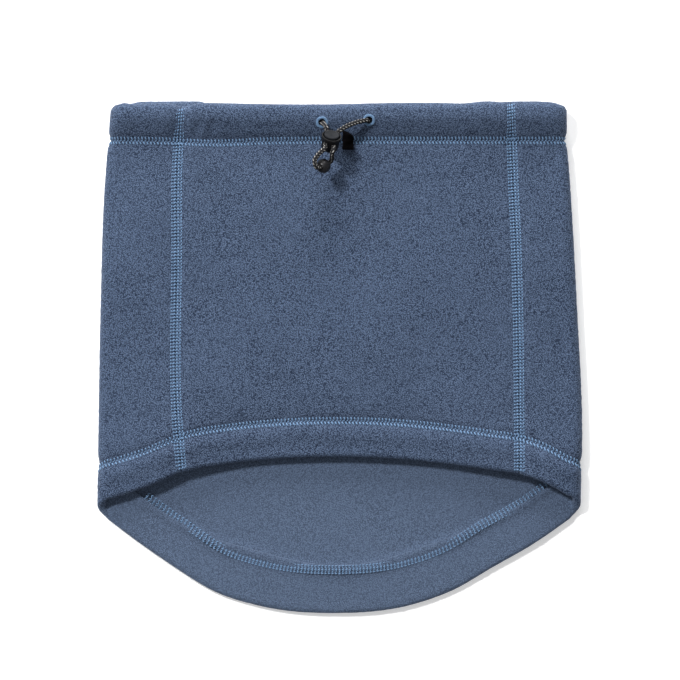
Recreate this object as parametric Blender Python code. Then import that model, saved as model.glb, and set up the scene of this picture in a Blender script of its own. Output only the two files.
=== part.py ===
"""Neck gaiter: a fleece tube lying flat on its back, with a drawcord casing round the neck edge.

Frame: millimetres below are turned to metres when a mesh is made. +X is the wearer's left to right as
seen from above, +Y runs up to the neck edge, +Z points up from the table. The origin is the middle of
the gaiter's outline, on the table.
"""

import math

import bmesh
import bpy
import numpy as np
from mathutils import Matrix, Vector

MM = 0.001

# Fleece tube
TOP_Y = 148.6  # neck edge
CLOTH = 2.2  # thickness of one layer of fleece
SEAM_GAP = 0.3  # between the two butted panels, and between folded layers
CHANNEL = 3.6  # clear height of the drawcord channel
BODY_HEIGHT = 14.5  # top of the front layer over the table
CASING_RISE = 7.5  # how far the casing stands above the body
CASING_DEPTH = 20.6  # neck edge to the turned edge inside
FRONT_HEM, BACK_HEM = 23.5, 28.0  # depth of the turned-up hem
HALF_WIDTHS = (  # y, left half width, right half width
    (-152, 140.7, 140.7), (-85, 140.7, 139.9), (-40, 139.7, 140.7), (30, 138.3, 137.2),
    (100, 135.4, 133.8), (128, 132.9, 131.7), (150, 131.0, 130.4),
)
SEAMS = (  # y, x of the left seam, x of the right seam
    (-72, -91.0, 104.2), (-30, -94.4, 104.2), (60, -94.4, 102.6), (118, -93.8, 100.2), (150, -91.2, 98.9),
)
FRONT_EDGE = (  # x, y of the front hem's lower edge
    (-136, -82.5), (-113, -75.2), (-92.5, -66.6), (-60, -60.7), (-35, -58.4), (0, -57.3), (32, -58.4),
    (62, -61.3), (88, -64.8), (104, -67.2), (119, -72.3), (134, -80.5),
)
BACK_EDGE = (  # x, y of the back hem's lower edge
    (-134, -93.5), (-115, -107.8), (-95, -121.8), (-73, -135.5), (-45, -144.6), (-3, -148.6),
    (42, -143.6), (65, -135.4), (89, -121.6), (113, -107.7), (134, -93.0),
)

# Thread
THREAD = 0.6  # thickness of a row of stitching
LIFT = 0.3  # clear of the cloth
SEAM_BAND, HEM_BAND = 5.4, 5.0  # widths of the flatlock and the cover stitch
CASING_STITCH_Y, HEM_STITCH = 126.0, 21.3  # its y; its distance above the front edge
BACK_HEM_STITCH = 25.6

# Eyelets and cord
EYELETS = ((-10.1, 136.5), (17.0, 137.7))
EYELET_HOLE, EYELET_RING = 2.1, 3.5  # radii
CORD = 1.35  # radius
CORD_Y = 137.4  # the cord's line inside the casing

# Cord lock: its rim's centre, its lean from upright, its turn in plan
RIM = Vector((-4.45, 127.8, 28.4))
LEAN, TURN = math.radians(42), math.radians(-11)
OVAL = 0.8  # depth of the lock over its width
HOLE_DOWN, HOLE_APART, HOLE = 4.2, 2.5, 1.6  # cord holes: below the rim, off the middle, radius
STROKE = 1.8
BARREL_LENGTH, FLOOR = 11.0, 0.9
STRAND_OUT = 5.4  # how far the strands reach out of the lock's middle, in front

# Joints: the cord bends at the eyelets, and again in front of the lock
EYELET_PIVOT = Vector((3.45, 137.1, 22.0))
LOOP_PIVOT_OUT = STRAND_OUT + 0.15

# Ball on the loop
BALL, BALL_HOLE = 4.15, 1.65
BALL_AT = Vector((-9.2, 110.6, 25.5))
BALL_AXIS = Vector((-0.5, -0.28, 0.82)).normalized()

COLOURS = {
    "fleece": ((0.075, 0.115, 0.195), 0.95, 0.0),
    "thread": ((0.13, 0.26, 0.45), 0.6, 0.0),
    "cord": ((0.035, 0.035, 0.035), 0.75, 0.0),
    "plastic": ((0.02, 0.02, 0.022), 0.5, 0.0),
    "steel": ((0.5, 0.5, 0.52), 0.3, 0.9),
    "tape": ((0.008, 0.008, 0.01), 0.9, 0.0),
}


def smooth(value):
    """0 below 0, 1 above 1 and an eased step between."""
    value = min(max(value, 0.0), 1.0)
    return value * value * (3 - 2 * value)


def curve(at, stops, column=1):
    """A smooth line through stops, which are rows of (position, value, ...)."""
    xs = [row[0] for row in stops]
    ys = [row[column] for row in stops]
    at = min(max(at, xs[0]), xs[-1])
    i = min(max(int(np.searchsorted(xs, at)) - 1, 0), len(xs) - 2)
    slopes = np.gradient(ys, xs)
    width = xs[i + 1] - xs[i]
    t = (at - xs[i]) / width
    return (
        (2 * t**3 - 3 * t**2 + 1) * ys[i]
        + (t**3 - 2 * t**2 + t) * width * slopes[i]
        + (3 * t**2 - 2 * t**3) * ys[i + 1]
        + (t**3 - t**2) * width * slopes[i + 1]
    )


def height(y):
    """Top of the front layer over the table."""
    casing = CASING_RISE * smooth((y - 124) / 8)
    hem = 1.5 * smooth((-30 - y) / 25)
    return BODY_HEIGHT + casing + hem


def half_width(y, side):
    return curve(y, HALF_WIDTHS, 2 if side > 0 else 1)


def seam_x(y, side):
    return curve(y, SEAMS, 2 if side > 0 else 1)


def flat_end(y, side):
    """How far the flat front reaches before it rolls over the side."""
    return half_width(y, side) - height(y) / 2


def skin(path, y, depth):
    """The point at a signed distance round the tube from the front's middle, and a depth under its face."""
    side = -1 if path < 0 else 1
    high = height(y)
    radius = high / 2
    flat = flat_end(y, side)
    along = abs(path)
    if along <= flat:
        return Vector((side * along, y, high - depth))
    along -= flat
    if along <= math.pi * radius:
        angle = along / radius
        reach = radius - depth
        return Vector((side * (flat + reach * math.sin(angle)), y, radius + reach * math.cos(angle)))
    return Vector((side * (flat - along + math.pi * radius), y, depth))


def material(kind):
    found = bpy.data.materials.new(kind)
    colour, roughness, metallic = COLOURS[kind]
    found.use_nodes = True
    shader = found.node_tree.nodes["Principled BSDF"]
    shader.inputs["Base Color"].default_value = (*colour, 1)
    shader.inputs["Roughness"].default_value = roughness
    shader.inputs["Metallic"].default_value = metallic
    return found


def place(name, data, kind):
    made = bpy.data.objects.new(name, data)
    bpy.context.scene.collection.objects.link(made)
    data.materials.append(material(kind))
    return made


def mesh_object(name, points, faces, kind):
    """An object from points in millimetres, its faces turned outwards."""
    data = bpy.data.meshes.new(name)
    data.from_pydata([Vector(p) * MM for p in points], [], faces)
    shape = bmesh.new()
    shape.from_mesh(data)
    bmesh.ops.recalc_face_normals(shape, faces=shape.faces)
    shape.to_mesh(data)
    shape.free()
    return place(name, data, kind)


def swept(name, rings, kind):
    """A closed solid through rings of one size, each ring two halves that face each other."""
    size = len(rings[0])
    points = [p for ring in rings for p in ring]
    faces = []
    for i in range(len(rings) - 1):
        for k in range(size):
            after = (k + 1) % size
            faces.append((i * size + k, (i + 1) * size + k, (i + 1) * size + after, i * size + after))
    for start in (0, (len(rings) - 1) * size):
        for k in range(size // 2 - 1):
            far = size - 1 - k
            faces.append((start + k, start + k + 1, start + far - 1, start + far))
    return mesh_object(name, points, faces, kind)


def strip(edge, top, hem):
    """The middle line of one panel, from the turned-up hem's end over the casing to its turned edge.

    Each point is (y, depth under the tube's outer face).
    """
    half = CLOTH / 2
    hem_bend = (CLOTH + SEAM_GAP) / 2
    hem_middle = half + hem_bend
    bend = (CHANNEL + CLOTH) / 2
    middle = half + bend
    line = [(edge + hem, half + 2 * hem_bend), (edge + hem / 2, half + 2 * hem_bend)]
    for step in range(6):
        turn = math.pi * step / 5
        line.append((edge + hem_middle - hem_bend * math.sin(turn), hem_middle + hem_bend * math.cos(turn)))
    line += [(edge + hem / 2, half), (edge + hem, half)]
    low, high = edge + hem, top - 28.0
    line += [(low + (high - low) * share, half) for share in (0.08, 0.2, 0.4, 0.6, 0.8, 1.0)]
    line += [(top - down, half) for down in (26.2, 24.8, 23.5, 22.2, 20.9, 19.6, 18.3, 16.6, 13.0, 9.0)]
    for step in range(8):
        turn = math.pi * step / 7
        line.append((top - middle + bend * math.sin(turn), middle - bend * math.cos(turn)))
    line.append((top - 10.0, half + 2 * bend))
    for step in range(6):
        share = step / 5
        end = half + 2 * hem_bend
        deep = half + 2 * bend + (end - half - 2 * bend) * smooth(share)
        line.append((top - 14.0 - (CASING_DEPTH - 14.0) * share, deep))
    return line


def thickened(line, thickness):
    """A middle line of (y, depth) points made into the ring of its two faces."""
    points = np.array(line)
    along = np.gradient(points, axis=0)
    along /= np.linalg.norm(along, axis=1)[:, None]
    out = np.stack([-along[:, 1], along[:, 0]], axis=1) * thickness / 2
    return np.concatenate([points + out, (points - out)[::-1]])


def front_panel():
    """The middle of the front, between the two seams."""
    rings = []
    for share in np.linspace(0, 1, 26):
        edge = curve(seam_x(-65, -1) * (1 - share) + seam_x(-65, 1) * share, FRONT_EDGE)
        ring = []
        for y, depth in thickened(strip(edge, TOP_Y, FRONT_HEM), CLOTH):
            left = seam_x(y, -1) + SEAM_GAP / 2
            right = seam_x(y, 1) - SEAM_GAP / 2
            ring.append(skin(left + (right - left) * share, y, depth))
        rings.append(ring)
    panel = swept("front_panel", rings, "fleece")
    for index, (x, y) in enumerate(EYELETS):
        above = Vector((x, y, 24))
        cut(panel, cylinder(f"eyelet_cutter_{index}", above, Vector((0, 0, 1)), EYELET_HOLE, 13, 20))
    return panel


def back_column(share_of, place_on):
    """One column of the back panel: its edge, its top, its hem and where it runs at each y."""
    part, side = place_on
    if part == "flank":
        end = flat_end(-80, side)
        edge = curve(side * (abs(seam_x(-68, side)) * (1 - share_of) + end * share_of), FRONT_EDGE)
        top = TOP_Y - 1.2 * share_of**3
        hem = FRONT_HEM

        def path(y):
            start = abs(seam_x(y, side)) + SEAM_GAP / 2
            return side * (start + (flat_end(y, side) - start) * share_of)
    elif part == "fold":
        front = curve(side * 133, FRONT_EDGE)
        back = curve(side * 133, BACK_EDGE)
        edge = front + (back - front) * share_of
        top = TOP_Y - 1.2 - 3.4 * math.sin(math.pi * share_of)
        hem = FRONT_HEM + (BACK_HEM + 3 - FRONT_HEM) * share_of

        def path(y):
            return side * (flat_end(y, side) + math.pi * height(y) / 2 * share_of)
    else:
        edge = curve(side * 133 * (1 - share_of), BACK_EDGE)
        top = TOP_Y - 1.2 * (1 - share_of) ** 3
        hem = BACK_HEM + 4 * math.sin(math.pi * min(1.0, 1.25 * (1 - share_of))) ** 2

        def path(y):
            flat = flat_end(y, side)
            return side * (flat + math.pi * height(y) / 2 + flat * share_of)
    return edge, top, hem, path


def back_panel():
    """The back, wrapped round both sides to the seams on the front."""
    half = [("flank", s) for s in np.linspace(0, 1, 6)[:-1]]
    half += [("fold", s) for s in np.linspace(0, 1, 8)[:-1]]
    half += [("back", s) for s in np.linspace(0, 1, 12)]
    columns = [(part, 1, s) for part, s in half] + [(part, -1, s) for part, s in half[:-1][::-1]]
    rings = []
    for part, side, share_of in columns:
        edge, top, hem, path = back_column(share_of, (part, side))
        rings.append([skin(path(y), y, depth) for y, depth in thickened(strip(edge, top, hem), CLOTH)])
    return swept("back_panel", rings, "fleece")


def face_depth(y, edge, top):
    """Depth of the panel's outer face at y, where it curves in at the hem's fold and the casing's."""
    depth = 0.0
    for radius, inside in ((CLOTH + SEAM_GAP / 2, y - edge), (CLOTH + CHANNEL / 2, top - y)):
        if inside < radius:
            depth += radius - math.sqrt(max(radius**2 - (radius - inside) ** 2, 0))
    return depth


def seam_thread(name, side):
    """The flatlock stitching over one seam, from the casing's fold to the hem's."""
    edge = curve(seam_x(-68, side), FRONT_EDGE)
    ys = [edge + 0.9, edge + 1.5, edge + 2.4, *np.linspace(edge + 6, 120, 12)]
    ys += [123, 125, 127, 129, 131, 134, 139, 143.5, 145.5, 146.8, 147.7]
    rings = []
    for y in ys:
        deep = face_depth(y, edge, TOP_Y) - LIFT
        rows = []
        for across in (-1, 0, 1):
            x = seam_x(y, side) + across * SEAM_BAND / 2
            follow = (curve(x, FRONT_EDGE) - edge) * max(0.0, 1 - (y - edge) / 6)
            rows.append([skin(x, y + follow, depth) for depth in (deep, deep - THREAD)])
        rings.append([row[0] for row in rows] + [row[1] for row in rows[::-1]])
    return swept(name, rings, "thread")


def crossing_lift(path, y):
    """Extra height where a row of stitching runs over a seam's."""
    near = min(abs(path - seam_x(y, side)) for side in (-1, 1))
    return (THREAD + LIFT) * (1 - smooth((near - SEAM_BAND / 2 - 0.4) / 1.6))


def across_thread(name, centre_y, reach, step=9.0):
    """A row of cover stitch across the front, which climbs over both seams."""
    paths = set(np.linspace(-reach, reach, int(2 * reach / step)))
    for side in (-1, 1):
        middle = seam_x(centre_y(side * 98), side)
        paths |= {middle + off for off in (-5.2, -4, -3.1, 3.1, 4, 5.2)}
    rings = []
    for path in sorted(paths):
        ring = []
        for depth in (-LIFT, -LIFT - THREAD):
            row = []
            for across in (-1, 0, 1):
                y = centre_y(path) + across * HEM_BAND / 2
                row.append(skin(path, y, depth - crossing_lift(path, centre_y(path))))
            ring += row if depth == -LIFT else row[::-1]
        rings.append(ring)
    return swept(name, rings, "thread")


def back_hem_thread():
    """The cover stitch on the inside of the back's hem, which the open hem shows."""
    rings = []
    lie = 2 * CLOTH + SEAM_GAP + LIFT
    for x in np.linspace(-104, 108, 30):
        slope = (curve(x + 1, BACK_EDGE) - curve(x - 1, BACK_EDGE)) / 2
        middle = Vector((x, curve(x, BACK_EDGE) + BACK_HEM_STITCH * math.hypot(1, slope * 0.8), 0))
        across = Vector((-slope, 1, 0)).normalized() * HEM_BAND / 2
        low = [middle + across * s + Vector((0, 0, lie)) for s in (-1, 0, 1)]
        high = [middle + across * s + Vector((0, 0, lie + THREAD)) for s in (1, 0, -1)]
        rings.append(low + high)
    return swept("back_hem_stitch_thread", rings, "thread")


def eyelet_thread(name, x, y):
    """A buttonhole ring of thread standing round one eyelet."""
    inner, outer = EYELET_HOLE - 0.1, EYELET_RING
    low = height(y) + LIFT
    section = (
        (inner, 0), (outer, 0), (outer - 0.2, 0.45),
        (outer - 0.7, THREAD), (inner + 0.35, THREAD), (inner, 0.3),
    )
    points, faces = [], []
    turns = 24
    for i in range(turns):
        angle = 2 * math.pi * i / turns
        points += [(x + r * math.cos(angle), y + r * math.sin(angle), low + z) for r, z in section]
        for k in range(len(section)):
            after, nxt = (k + 1) % len(section), (i + 1) % turns
            faces.append((i * 6 + k, nxt * 6 + k, nxt * 6 + after, i * 6 + after))
    return mesh_object(name, points, faces, "thread")


def rounded(route, spacing):
    """Even points on a smooth curve through the route."""
    points = np.array([tuple(p) for p in route], float)
    padded = np.vstack([2 * points[0] - points[1], points, 2 * points[-1] - points[-2]])
    fine = []
    for i in range(len(points) - 1):
        a, b, c, d = padded[i : i + 4]
        for t in np.linspace(0, 1, 16, endpoint=False):
            fine.append(
                0.5 * (2 * b + (c - a) * t + (2 * a - 5 * b + 4 * c - d) * t**2)
                + 0.5 * (3 * b - a - 3 * c + d) * t**3
            )
    fine.append(points[-1])
    fine = np.array(fine)
    run = np.concatenate([[0], np.cumsum(np.linalg.norm(np.diff(fine, axis=0), axis=1))])
    at = np.linspace(0, run[-1], max(2, int(round(run[-1] / spacing)) + 1))
    return np.stack([np.interp(at, run, fine[:, k]) for k in range(3)], axis=1)


def tube(name, points, radius, kind, resolution=2):
    data = bpy.data.curves.new(name, "CURVE")
    data.dimensions = "3D"
    data.bevel_depth = radius * MM
    data.bevel_resolution = resolution
    data.use_fill_caps = True
    line = data.splines.new("POLY")
    line.points.add(len(points) - 1)
    for point, at in zip(line.points, points):
        point.co = (*(Vector(at) * MM), 1)
    return place(name, data, kind)


def hidden_cord():
    """The drawcord's whole run inside the casing, from one eyelet round the neck to the other."""
    middle = CLOTH + CHANNEL / 2
    y = CORD_Y
    left, right = EYELETS
    top = height(y)
    arc = math.pi * top / 2
    points = []
    for side, (x, eye_y) in ((-1, left), (1, right)):
        flat = flat_end(y, side)
        rise = [
            Vector((x, eye_y, top - 1.0)), Vector((x + side * 0.15, eye_y, top - 2.0)),
            Vector((x + side * 1.1, eye_y + 0.1, top - 3.4)),
            Vector((x + side * 3.2, eye_y + 0.2, top - middle)),
        ]
        run = [skin(side * s, y, middle) for s in np.linspace(abs(x) + 12, flat, 11)]
        fold = [
            skin(side * (flat + arc * s), y - 0.9 * math.sin(math.pi * s), middle)
            for s in np.linspace(0, 1, 10)
        ]
        back = [skin(side * (flat + arc + flat * s), y, middle) for s in np.linspace(0, 1, 15)]
        half = rise + run + fold[1:-1] + back
        points += half if side < 0 else half[:-1][::-1]
    return tube("draw_cord", points, CORD, "cord")


def lock_matrix():
    """From the lock's own axes (across, outwards in front, up its length) to the frame."""
    turn = Matrix.Rotation(TURN, 3, "Z")
    across = turn @ Vector((1, 0, 0))
    front = turn @ Vector((0, -math.cos(LEAN), math.sin(LEAN)))
    up = turn @ Vector((0, math.sin(LEAN), math.cos(LEAN)))
    return Matrix((across, front, up)).transposed()


def on_lock(across, front, up):
    return RIM + lock_matrix() @ Vector((across, front, up))


def lathe(name, profile, kind, turns=28):
    """An oval solid turned about the lock's length from a closed profile of (radius, height)."""
    points = [on_lock(0, 0, profile[0][1])]
    faces = []
    inner = profile[1:-1]
    for i in range(turns):
        angle = 2 * math.pi * i / turns
        points += [on_lock(r * math.cos(angle), OVAL * r * math.sin(angle), z) for r, z in inner]
    points.append(on_lock(0, 0, profile[-1][1]))
    last, size = len(points) - 1, len(inner)
    for i in range(turns):
        a, b = 1 + i * size, 1 + (i + 1) % turns * size
        faces += [(0, b, a), (a + size - 1, b + size - 1, last)]
        faces += [(a + k, b + k, b + k + 1, a + k + 1) for k in range(size - 1)]
    return mesh_object(name, points, faces, kind)


def cylinder(name, middle, axis, radius, length, turns=24):
    across = axis.orthogonal().normalized()
    other = axis.cross(across).normalized()
    points = []
    for end in (-length / 2, length / 2):
        for i in range(turns):
            angle = 2 * math.pi * i / turns
            turned = across * math.cos(angle) + other * math.sin(angle)
            points.append(middle + axis * end + turned * radius)
    faces = [tuple(range(turns)), tuple(range(2 * turns - 1, turns - 1, -1))]
    faces += [(i, (i + 1) % turns, turns + (i + 1) % turns, turns + i) for i in range(turns)]
    return mesh_object(name, points, faces, "plastic")


def box(name, low, high):
    """A cutter that is square with the lock."""
    sides = [(low[i], high[i]) for i in range(3)]
    corners = [on_lock(x, y, z) for x in sides[0] for y in sides[1] for z in sides[2]]
    faces = [(0, 1, 3, 2), (4, 6, 7, 5), (0, 4, 5, 1), (2, 3, 7, 6), (0, 2, 6, 4), (1, 5, 7, 3)]
    return mesh_object(name, corners, faces, "plastic")


def cut(target, cutter):
    cutter.hide_render = True
    cutter.display_type = "WIRE"
    modifier = target.modifiers.new(cutter.name, "BOOLEAN")
    modifier.operation = "DIFFERENCE"
    modifier.solver = "EXACT"
    modifier.object = cutter


def lock_body():
    """The barrel: open at its rim, with a hole for each strand from back to front."""
    floor = -BARREL_LENGTH + FLOOR
    profile = (
        (0, -BARREL_LENGTH), (3.5, -BARREL_LENGTH), (4.4, -BARREL_LENGTH + 0.5),
        (4.85, -BARREL_LENGTH + 1.6), (5.3, -3.4), (5.65, -1.5), (5.75, -1.0), (5.75, -0.25),
        (5.6, 0), (5.2, 0), (5.05, -0.2), (5.05, -2.45),
        (4.1, -2.45), (4.1, floor + 0.5), (3.6, floor), (0, floor),
    )
    barrel = lathe("lock_body", profile, "plastic", 32)
    front = lock_matrix() @ Vector((0, 1, 0))
    for side in (-1, 1):
        middle = on_lock(side * HOLE_APART, 0, -HOLE_DOWN)
        cut(barrel, cylinder(f"lock_cutter_{side + 1}", middle, front, HOLE, 16, 20))
    return barrel


def lock_button():
    """The plunger: an oval cap on a stem whose two slots let the strands through over the whole stroke."""
    low = -HOLE_DOWN - HOLE - 1.0
    profile = (
        (0, low), (3.4, low), (3.9, low + 0.4), (3.9, -0.6), (4.45, -0.6), (4.45, 0.5),
        (4.2, 0.95), (3.4, 1.2),
        (1.8, 1.35), (0, 1.4),
    )
    button = lathe("lock_button", profile, "plastic", 28)
    for side in (-1, 1):
        near, far = HOLE_APART - HOLE, HOLE_APART + HOLE + 1
        ends = sorted((side * near, side * far))
        lowest = (ends[0], -6, -HOLE_DOWN - HOLE)
        highest = (ends[1], 6, -HOLE_DOWN + HOLE + STROKE)
        cut(button, box(f"button_cutter_{side + 1}", lowest, highest))
    return button


def lock_spring():
    """The coil between the plunger and the barrel's floor."""
    low = -BARREL_LENGTH + FLOOR + 0.6
    high = -HOLE_DOWN - HOLE - 1.0 - 0.6
    count = 44
    points = []
    for i in range(count):
        angle = 2 * math.pi * 3 * i / (count - 1)
        up = low + (high - low) * i / (count - 1)
        points.append(on_lock(2.2 * math.cos(angle), 2.2 * math.sin(angle), up))
    return tube("lock_spring", points, 0.25, "steel", 1)


def strand(name, side):
    """One strand from its eyelet over the casing, into the lock's back and out of its front."""
    x, y = EYELETS[0 if side < 0 else 1]
    top = height(y)
    eye = [Vector((x, y, top - 0.65)), Vector((x, y - 0.05, top + 0.6))]
    if side < 0:
        over = [
            (-9.75, 135.1, top + 2.6), (-9.2, 133.6, top + 2.9),
            (-8.3, 131.6, top + 1.9), (-7.35, 130.3, top + 0.7),
        ]
    else:
        over = [
            (16.2, 137.3, top + 2.1), (14.4, 136.7, top + 2.8),
            (9.6, 134.9, top + 2.7), (4.0, 132.6, top + 2.4),
            (0.6, 131.0, top + 1.7), (-1.1, 129.9, top + 0.6),
        ]
    through = [on_lock(side * HOLE_APART, out, -HOLE_DOWN) for out in (-5.2, -3.4, 0, 3.4, STRAND_OUT)]
    return tube(name, rounded(eye + [Vector(p) for p in over] + through, 1.7), CORD, "cord")


def loop_route():
    """The free loop: out of the lock, through the ball from its top, and back under it."""
    starts = [on_lock(side * HOLE_APART, STRAND_OUT + LIFT, -HOLE_DOWN) for side in (-1, 1)]
    outs = [on_lock(side * HOLE_APART, STRAND_OUT + 2.0, -HOLE_DOWN) for side in (-1, 1)]
    left = [
        (-10.4, 118.6, 31.0), (-12.6, 116.2, 31.4), (-14.1, 113.6, 31.7),
        (-13.9, 111.0, 31.6), (-12.7, 109.3, 30.6),
    ]
    right = [
        (-6.3, 112.5, 20.9), (-5.1, 113.4, 20.8), (-4.5, 114.6, 22.6),
        (-4.3, 115.8, 25.6), (-4.2, 117.4, 28.8),
    ]
    through = [BALL_AT + BALL_AXIS * s for s in (3.4, 1.2, -1.2, -3.4)]
    route = [starts[0], outs[0], *map(Vector, left), *through, *map(Vector, right), outs[1], starts[1]]
    return rounded(route, 1.3)


def cord_ball():
    rows, turns = 14, 24
    frame = BALL_AXIS.to_track_quat("Z", "Y").to_matrix()
    points, faces = [], []
    for j in range(rows + 1):
        polar = math.pi * j / rows
        for i in range(turns if 0 < j < rows else 1):
            angle = 2 * math.pi * i / turns
            flat = math.sin(polar)
            spot = Vector((flat * math.cos(angle), flat * math.sin(angle), math.cos(polar)))
            points.append(BALL_AT + frame @ spot * BALL)
    last = len(points) - 1
    for i in range(turns):
        after = (i + 1) % turns
        faces.append((0, 1 + i, 1 + after))
        faces.append((last, last - turns + after, last - turns + i))
        for j in range(rows - 2):
            a, b = 1 + j * turns, 1 + (j + 1) * turns
            faces.append((a + i, b + i, b + after, a + after))
    ball = mesh_object("cord_ball", points, faces, "plastic")
    cut(ball, cylinder("ball_cutter", BALL_AT, BALL_AXIS, BALL_HOLE, 14, 20))
    return ball


def keeper_tape():
    """A short tape folded in two beside the lock, its ends up under the right strand."""
    half = 0.4
    line = [(128.8, -0.55), (126.9, -0.55), (124.9, -0.55), (122.9, -0.55)]
    line += [(122.1 - 0.55 * math.sin(math.pi * s / 5), -0.55 * math.cos(math.pi * s / 5)) for s in range(6)]
    line += [(y, 0.55) for y in (122.9, 124.9, 126.9, 128.8)]
    ring_line = thickened(line, 2 * half)
    rings = []
    for share_of in np.linspace(0, 1, 5):
        ring = []
        for y, lift in ring_line:
            left = 1.75
            right = 8.2 - 1.35 * max(0.0, y - 125.6)
            level = height(min(y, 128.8)) + 2.15 + 0.25 * (128.8 - y)
            ring.append(Vector((left + (right - left) * share_of, y, level + lift)))
        rings.append(ring)
    return swept("keeper_tape", rings, "tape")


def pivot(made, at):
    """Moves the object's origin to its joint without moving the shape."""
    shift = Vector(at) * MM
    made.data.transform(Matrix.Translation(-shift))
    made.location = shift


def main():
    for old in list(bpy.data.objects):
        bpy.data.objects.remove(old, do_unlink=True)
    front_panel()
    back_panel()
    seam_thread("left_seam_stitch_thread", -1)
    seam_thread("right_seam_stitch_thread", 1)
    across_thread("casing_stitch_thread", lambda path: CASING_STITCH_Y, 122.5)
    across_thread("front_hem_stitch_thread", lambda path: curve(path, FRONT_EDGE) + HEM_STITCH, 128)
    back_hem_thread()
    for name, (x, y) in zip(("left_eyelet_stitching", "right_eyelet_stitching"), EYELETS):
        eyelet_thread(name, x, y)
    hidden_cord()
    keeper_tape()
    for made in (lock_body(), lock_spring(), strand("cord_strand_left", -1), strand("cord_strand_right", 1)):
        pivot(made, EYELET_PIVOT)
    pivot(lock_button(), RIM)
    pivot(tube("cord_loop", loop_route(), CORD, "cord"), on_lock(0, LOOP_PIVOT_OUT, -HOLE_DOWN))
    pivot(cord_ball(), BALL_AT)


main()
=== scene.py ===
"""The looks of a fleece neck gaiter with a drawcord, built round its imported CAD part."""

from __future__ import annotations

import logging
import math
from collections.abc import Callable, Sequence
from dataclasses import dataclass
from enum import Enum

import bpy
import numpy as np
from mathutils import Matrix, Vector


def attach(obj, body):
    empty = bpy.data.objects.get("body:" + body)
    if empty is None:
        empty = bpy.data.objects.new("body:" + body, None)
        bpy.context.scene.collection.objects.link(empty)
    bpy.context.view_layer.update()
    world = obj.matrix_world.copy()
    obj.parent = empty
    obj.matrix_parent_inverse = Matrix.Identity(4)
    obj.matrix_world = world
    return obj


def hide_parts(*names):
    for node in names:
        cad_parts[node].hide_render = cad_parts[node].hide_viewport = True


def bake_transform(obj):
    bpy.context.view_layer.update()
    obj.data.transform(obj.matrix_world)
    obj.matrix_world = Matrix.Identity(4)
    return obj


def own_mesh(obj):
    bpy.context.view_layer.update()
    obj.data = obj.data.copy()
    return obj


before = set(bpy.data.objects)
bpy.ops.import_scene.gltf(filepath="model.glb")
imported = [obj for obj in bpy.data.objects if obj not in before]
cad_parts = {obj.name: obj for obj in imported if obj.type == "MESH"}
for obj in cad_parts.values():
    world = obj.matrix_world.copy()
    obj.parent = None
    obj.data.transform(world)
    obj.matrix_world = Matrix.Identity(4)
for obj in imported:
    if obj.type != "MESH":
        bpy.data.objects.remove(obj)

log = logging.getLogger("gaiter")

MM = 0.001
NO_EDGE, NO_TOP = -300.0, 400.0  # edges too far off to bend what lies between them

Array = np.ndarray
Stops = Sequence[tuple[float, ...]]
Colour = tuple[float, float, float]
Holes = tuple[Array, Array]  # points on the cloth and its normals there


class Side(Enum):
    """A side of the gaiter, as its front shows it."""

    LEFT = -1
    RIGHT = 1

    @property
    def label(self) -> str:
        """The side's name in the names of pieces and nodes."""
        return self.name.lower()


class Region(Enum):
    """A stretch of the back piece on its way round the tube."""

    FLANK = "flank"
    FOLD = "fold"
    BACK = "back"


class Body(Enum):
    """The CAD bodies that the pieces ride on."""

    GAITER = "gaiter"
    LOCK = "lock"
    BUTTON = "button"
    LOOP = "loop"
    BALL = "ball"


# ---------------------------------------------------------------- numbers


def smooth(value: Array | float) -> Array:
    """Ease from 0 to 1, and stay level outside that."""
    value = np.clip(value, 0.0, 1.0)
    return value * value * (3 - 2 * value)


def bell(offset: Array | float, width: float) -> Array:
    """A bump of height 1 with the given half width."""
    return np.exp(-((np.asarray(offset) / width) ** 2))


def curve(at: Array | float, stops: Stops, column: int = 1) -> Array:
    """Read a smooth line through stops.

    Args:
        at: where to read it.
        stops: rows of a position and its values, in rising order.
        column: which value of a row to read.

    Returns:
        The value at each place, held level past the ends.
    """
    xs = np.array([row[0] for row in stops], float)
    ys = np.array([row[column] for row in stops], float)
    slopes = np.gradient(ys, xs)
    at = np.clip(np.asarray(at, float), xs[0], xs[-1])
    i = np.clip(np.searchsorted(xs, at) - 1, 0, len(xs) - 2)
    width = xs[i + 1] - xs[i]
    t = (at - xs[i]) / width
    return (
        (2 * t**3 - 3 * t**2 + 1) * ys[i]
        + (t**3 - 2 * t**2 + t) * width * slopes[i]
        + (3 * t**2 - 2 * t**3) * ys[i + 1]
        + (t**3 - t**2) * width * slopes[i + 1]
    )


def unit(rows: Array) -> Array:
    """Scale each row to length 1."""
    return rows / np.maximum(np.linalg.norm(rows, axis=-1, keepdims=True), 1e-9)


def run_of(line: Array) -> Array:
    """The distance along a line at each of its points."""
    return np.concatenate([[0], np.cumsum(np.linalg.norm(np.diff(line, axis=0), axis=1))])


def rounded(route: Sequence[Sequence[float]], spacing: float) -> Array:
    """Lay even points on a smooth curve through a route.

    Args:
        route: the points to pass through.
        spacing: the distance between the new points.

    Returns:
        The new points, one row each.
    """
    points = np.array([tuple(p) for p in route], float)
    padded = np.vstack([2 * points[0] - points[1], points, 2 * points[-1] - points[-2]])
    t = np.linspace(0, 1, 24, endpoint=False)[:, None]
    fine = []
    for a, b, c, d in zip(padded, padded[1:], padded[2:], padded[3:]):
        fine.append(
            0.5 * (2 * b + (c - a) * t + (2 * a - 5 * b + 4 * c - d) * t**2)
            + 0.5 * (3 * b - a - 3 * c + d) * t**3
        )
    line = np.vstack([*fine, points[-1:]])
    run = run_of(line)
    at = np.linspace(0, run[-1], max(3, round(run[-1] / spacing) + 1))
    return np.stack([np.interp(at, run, line[:, k]) for k in range(3)], axis=1)


# ---------------------------------------------------------------- meshes


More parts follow.
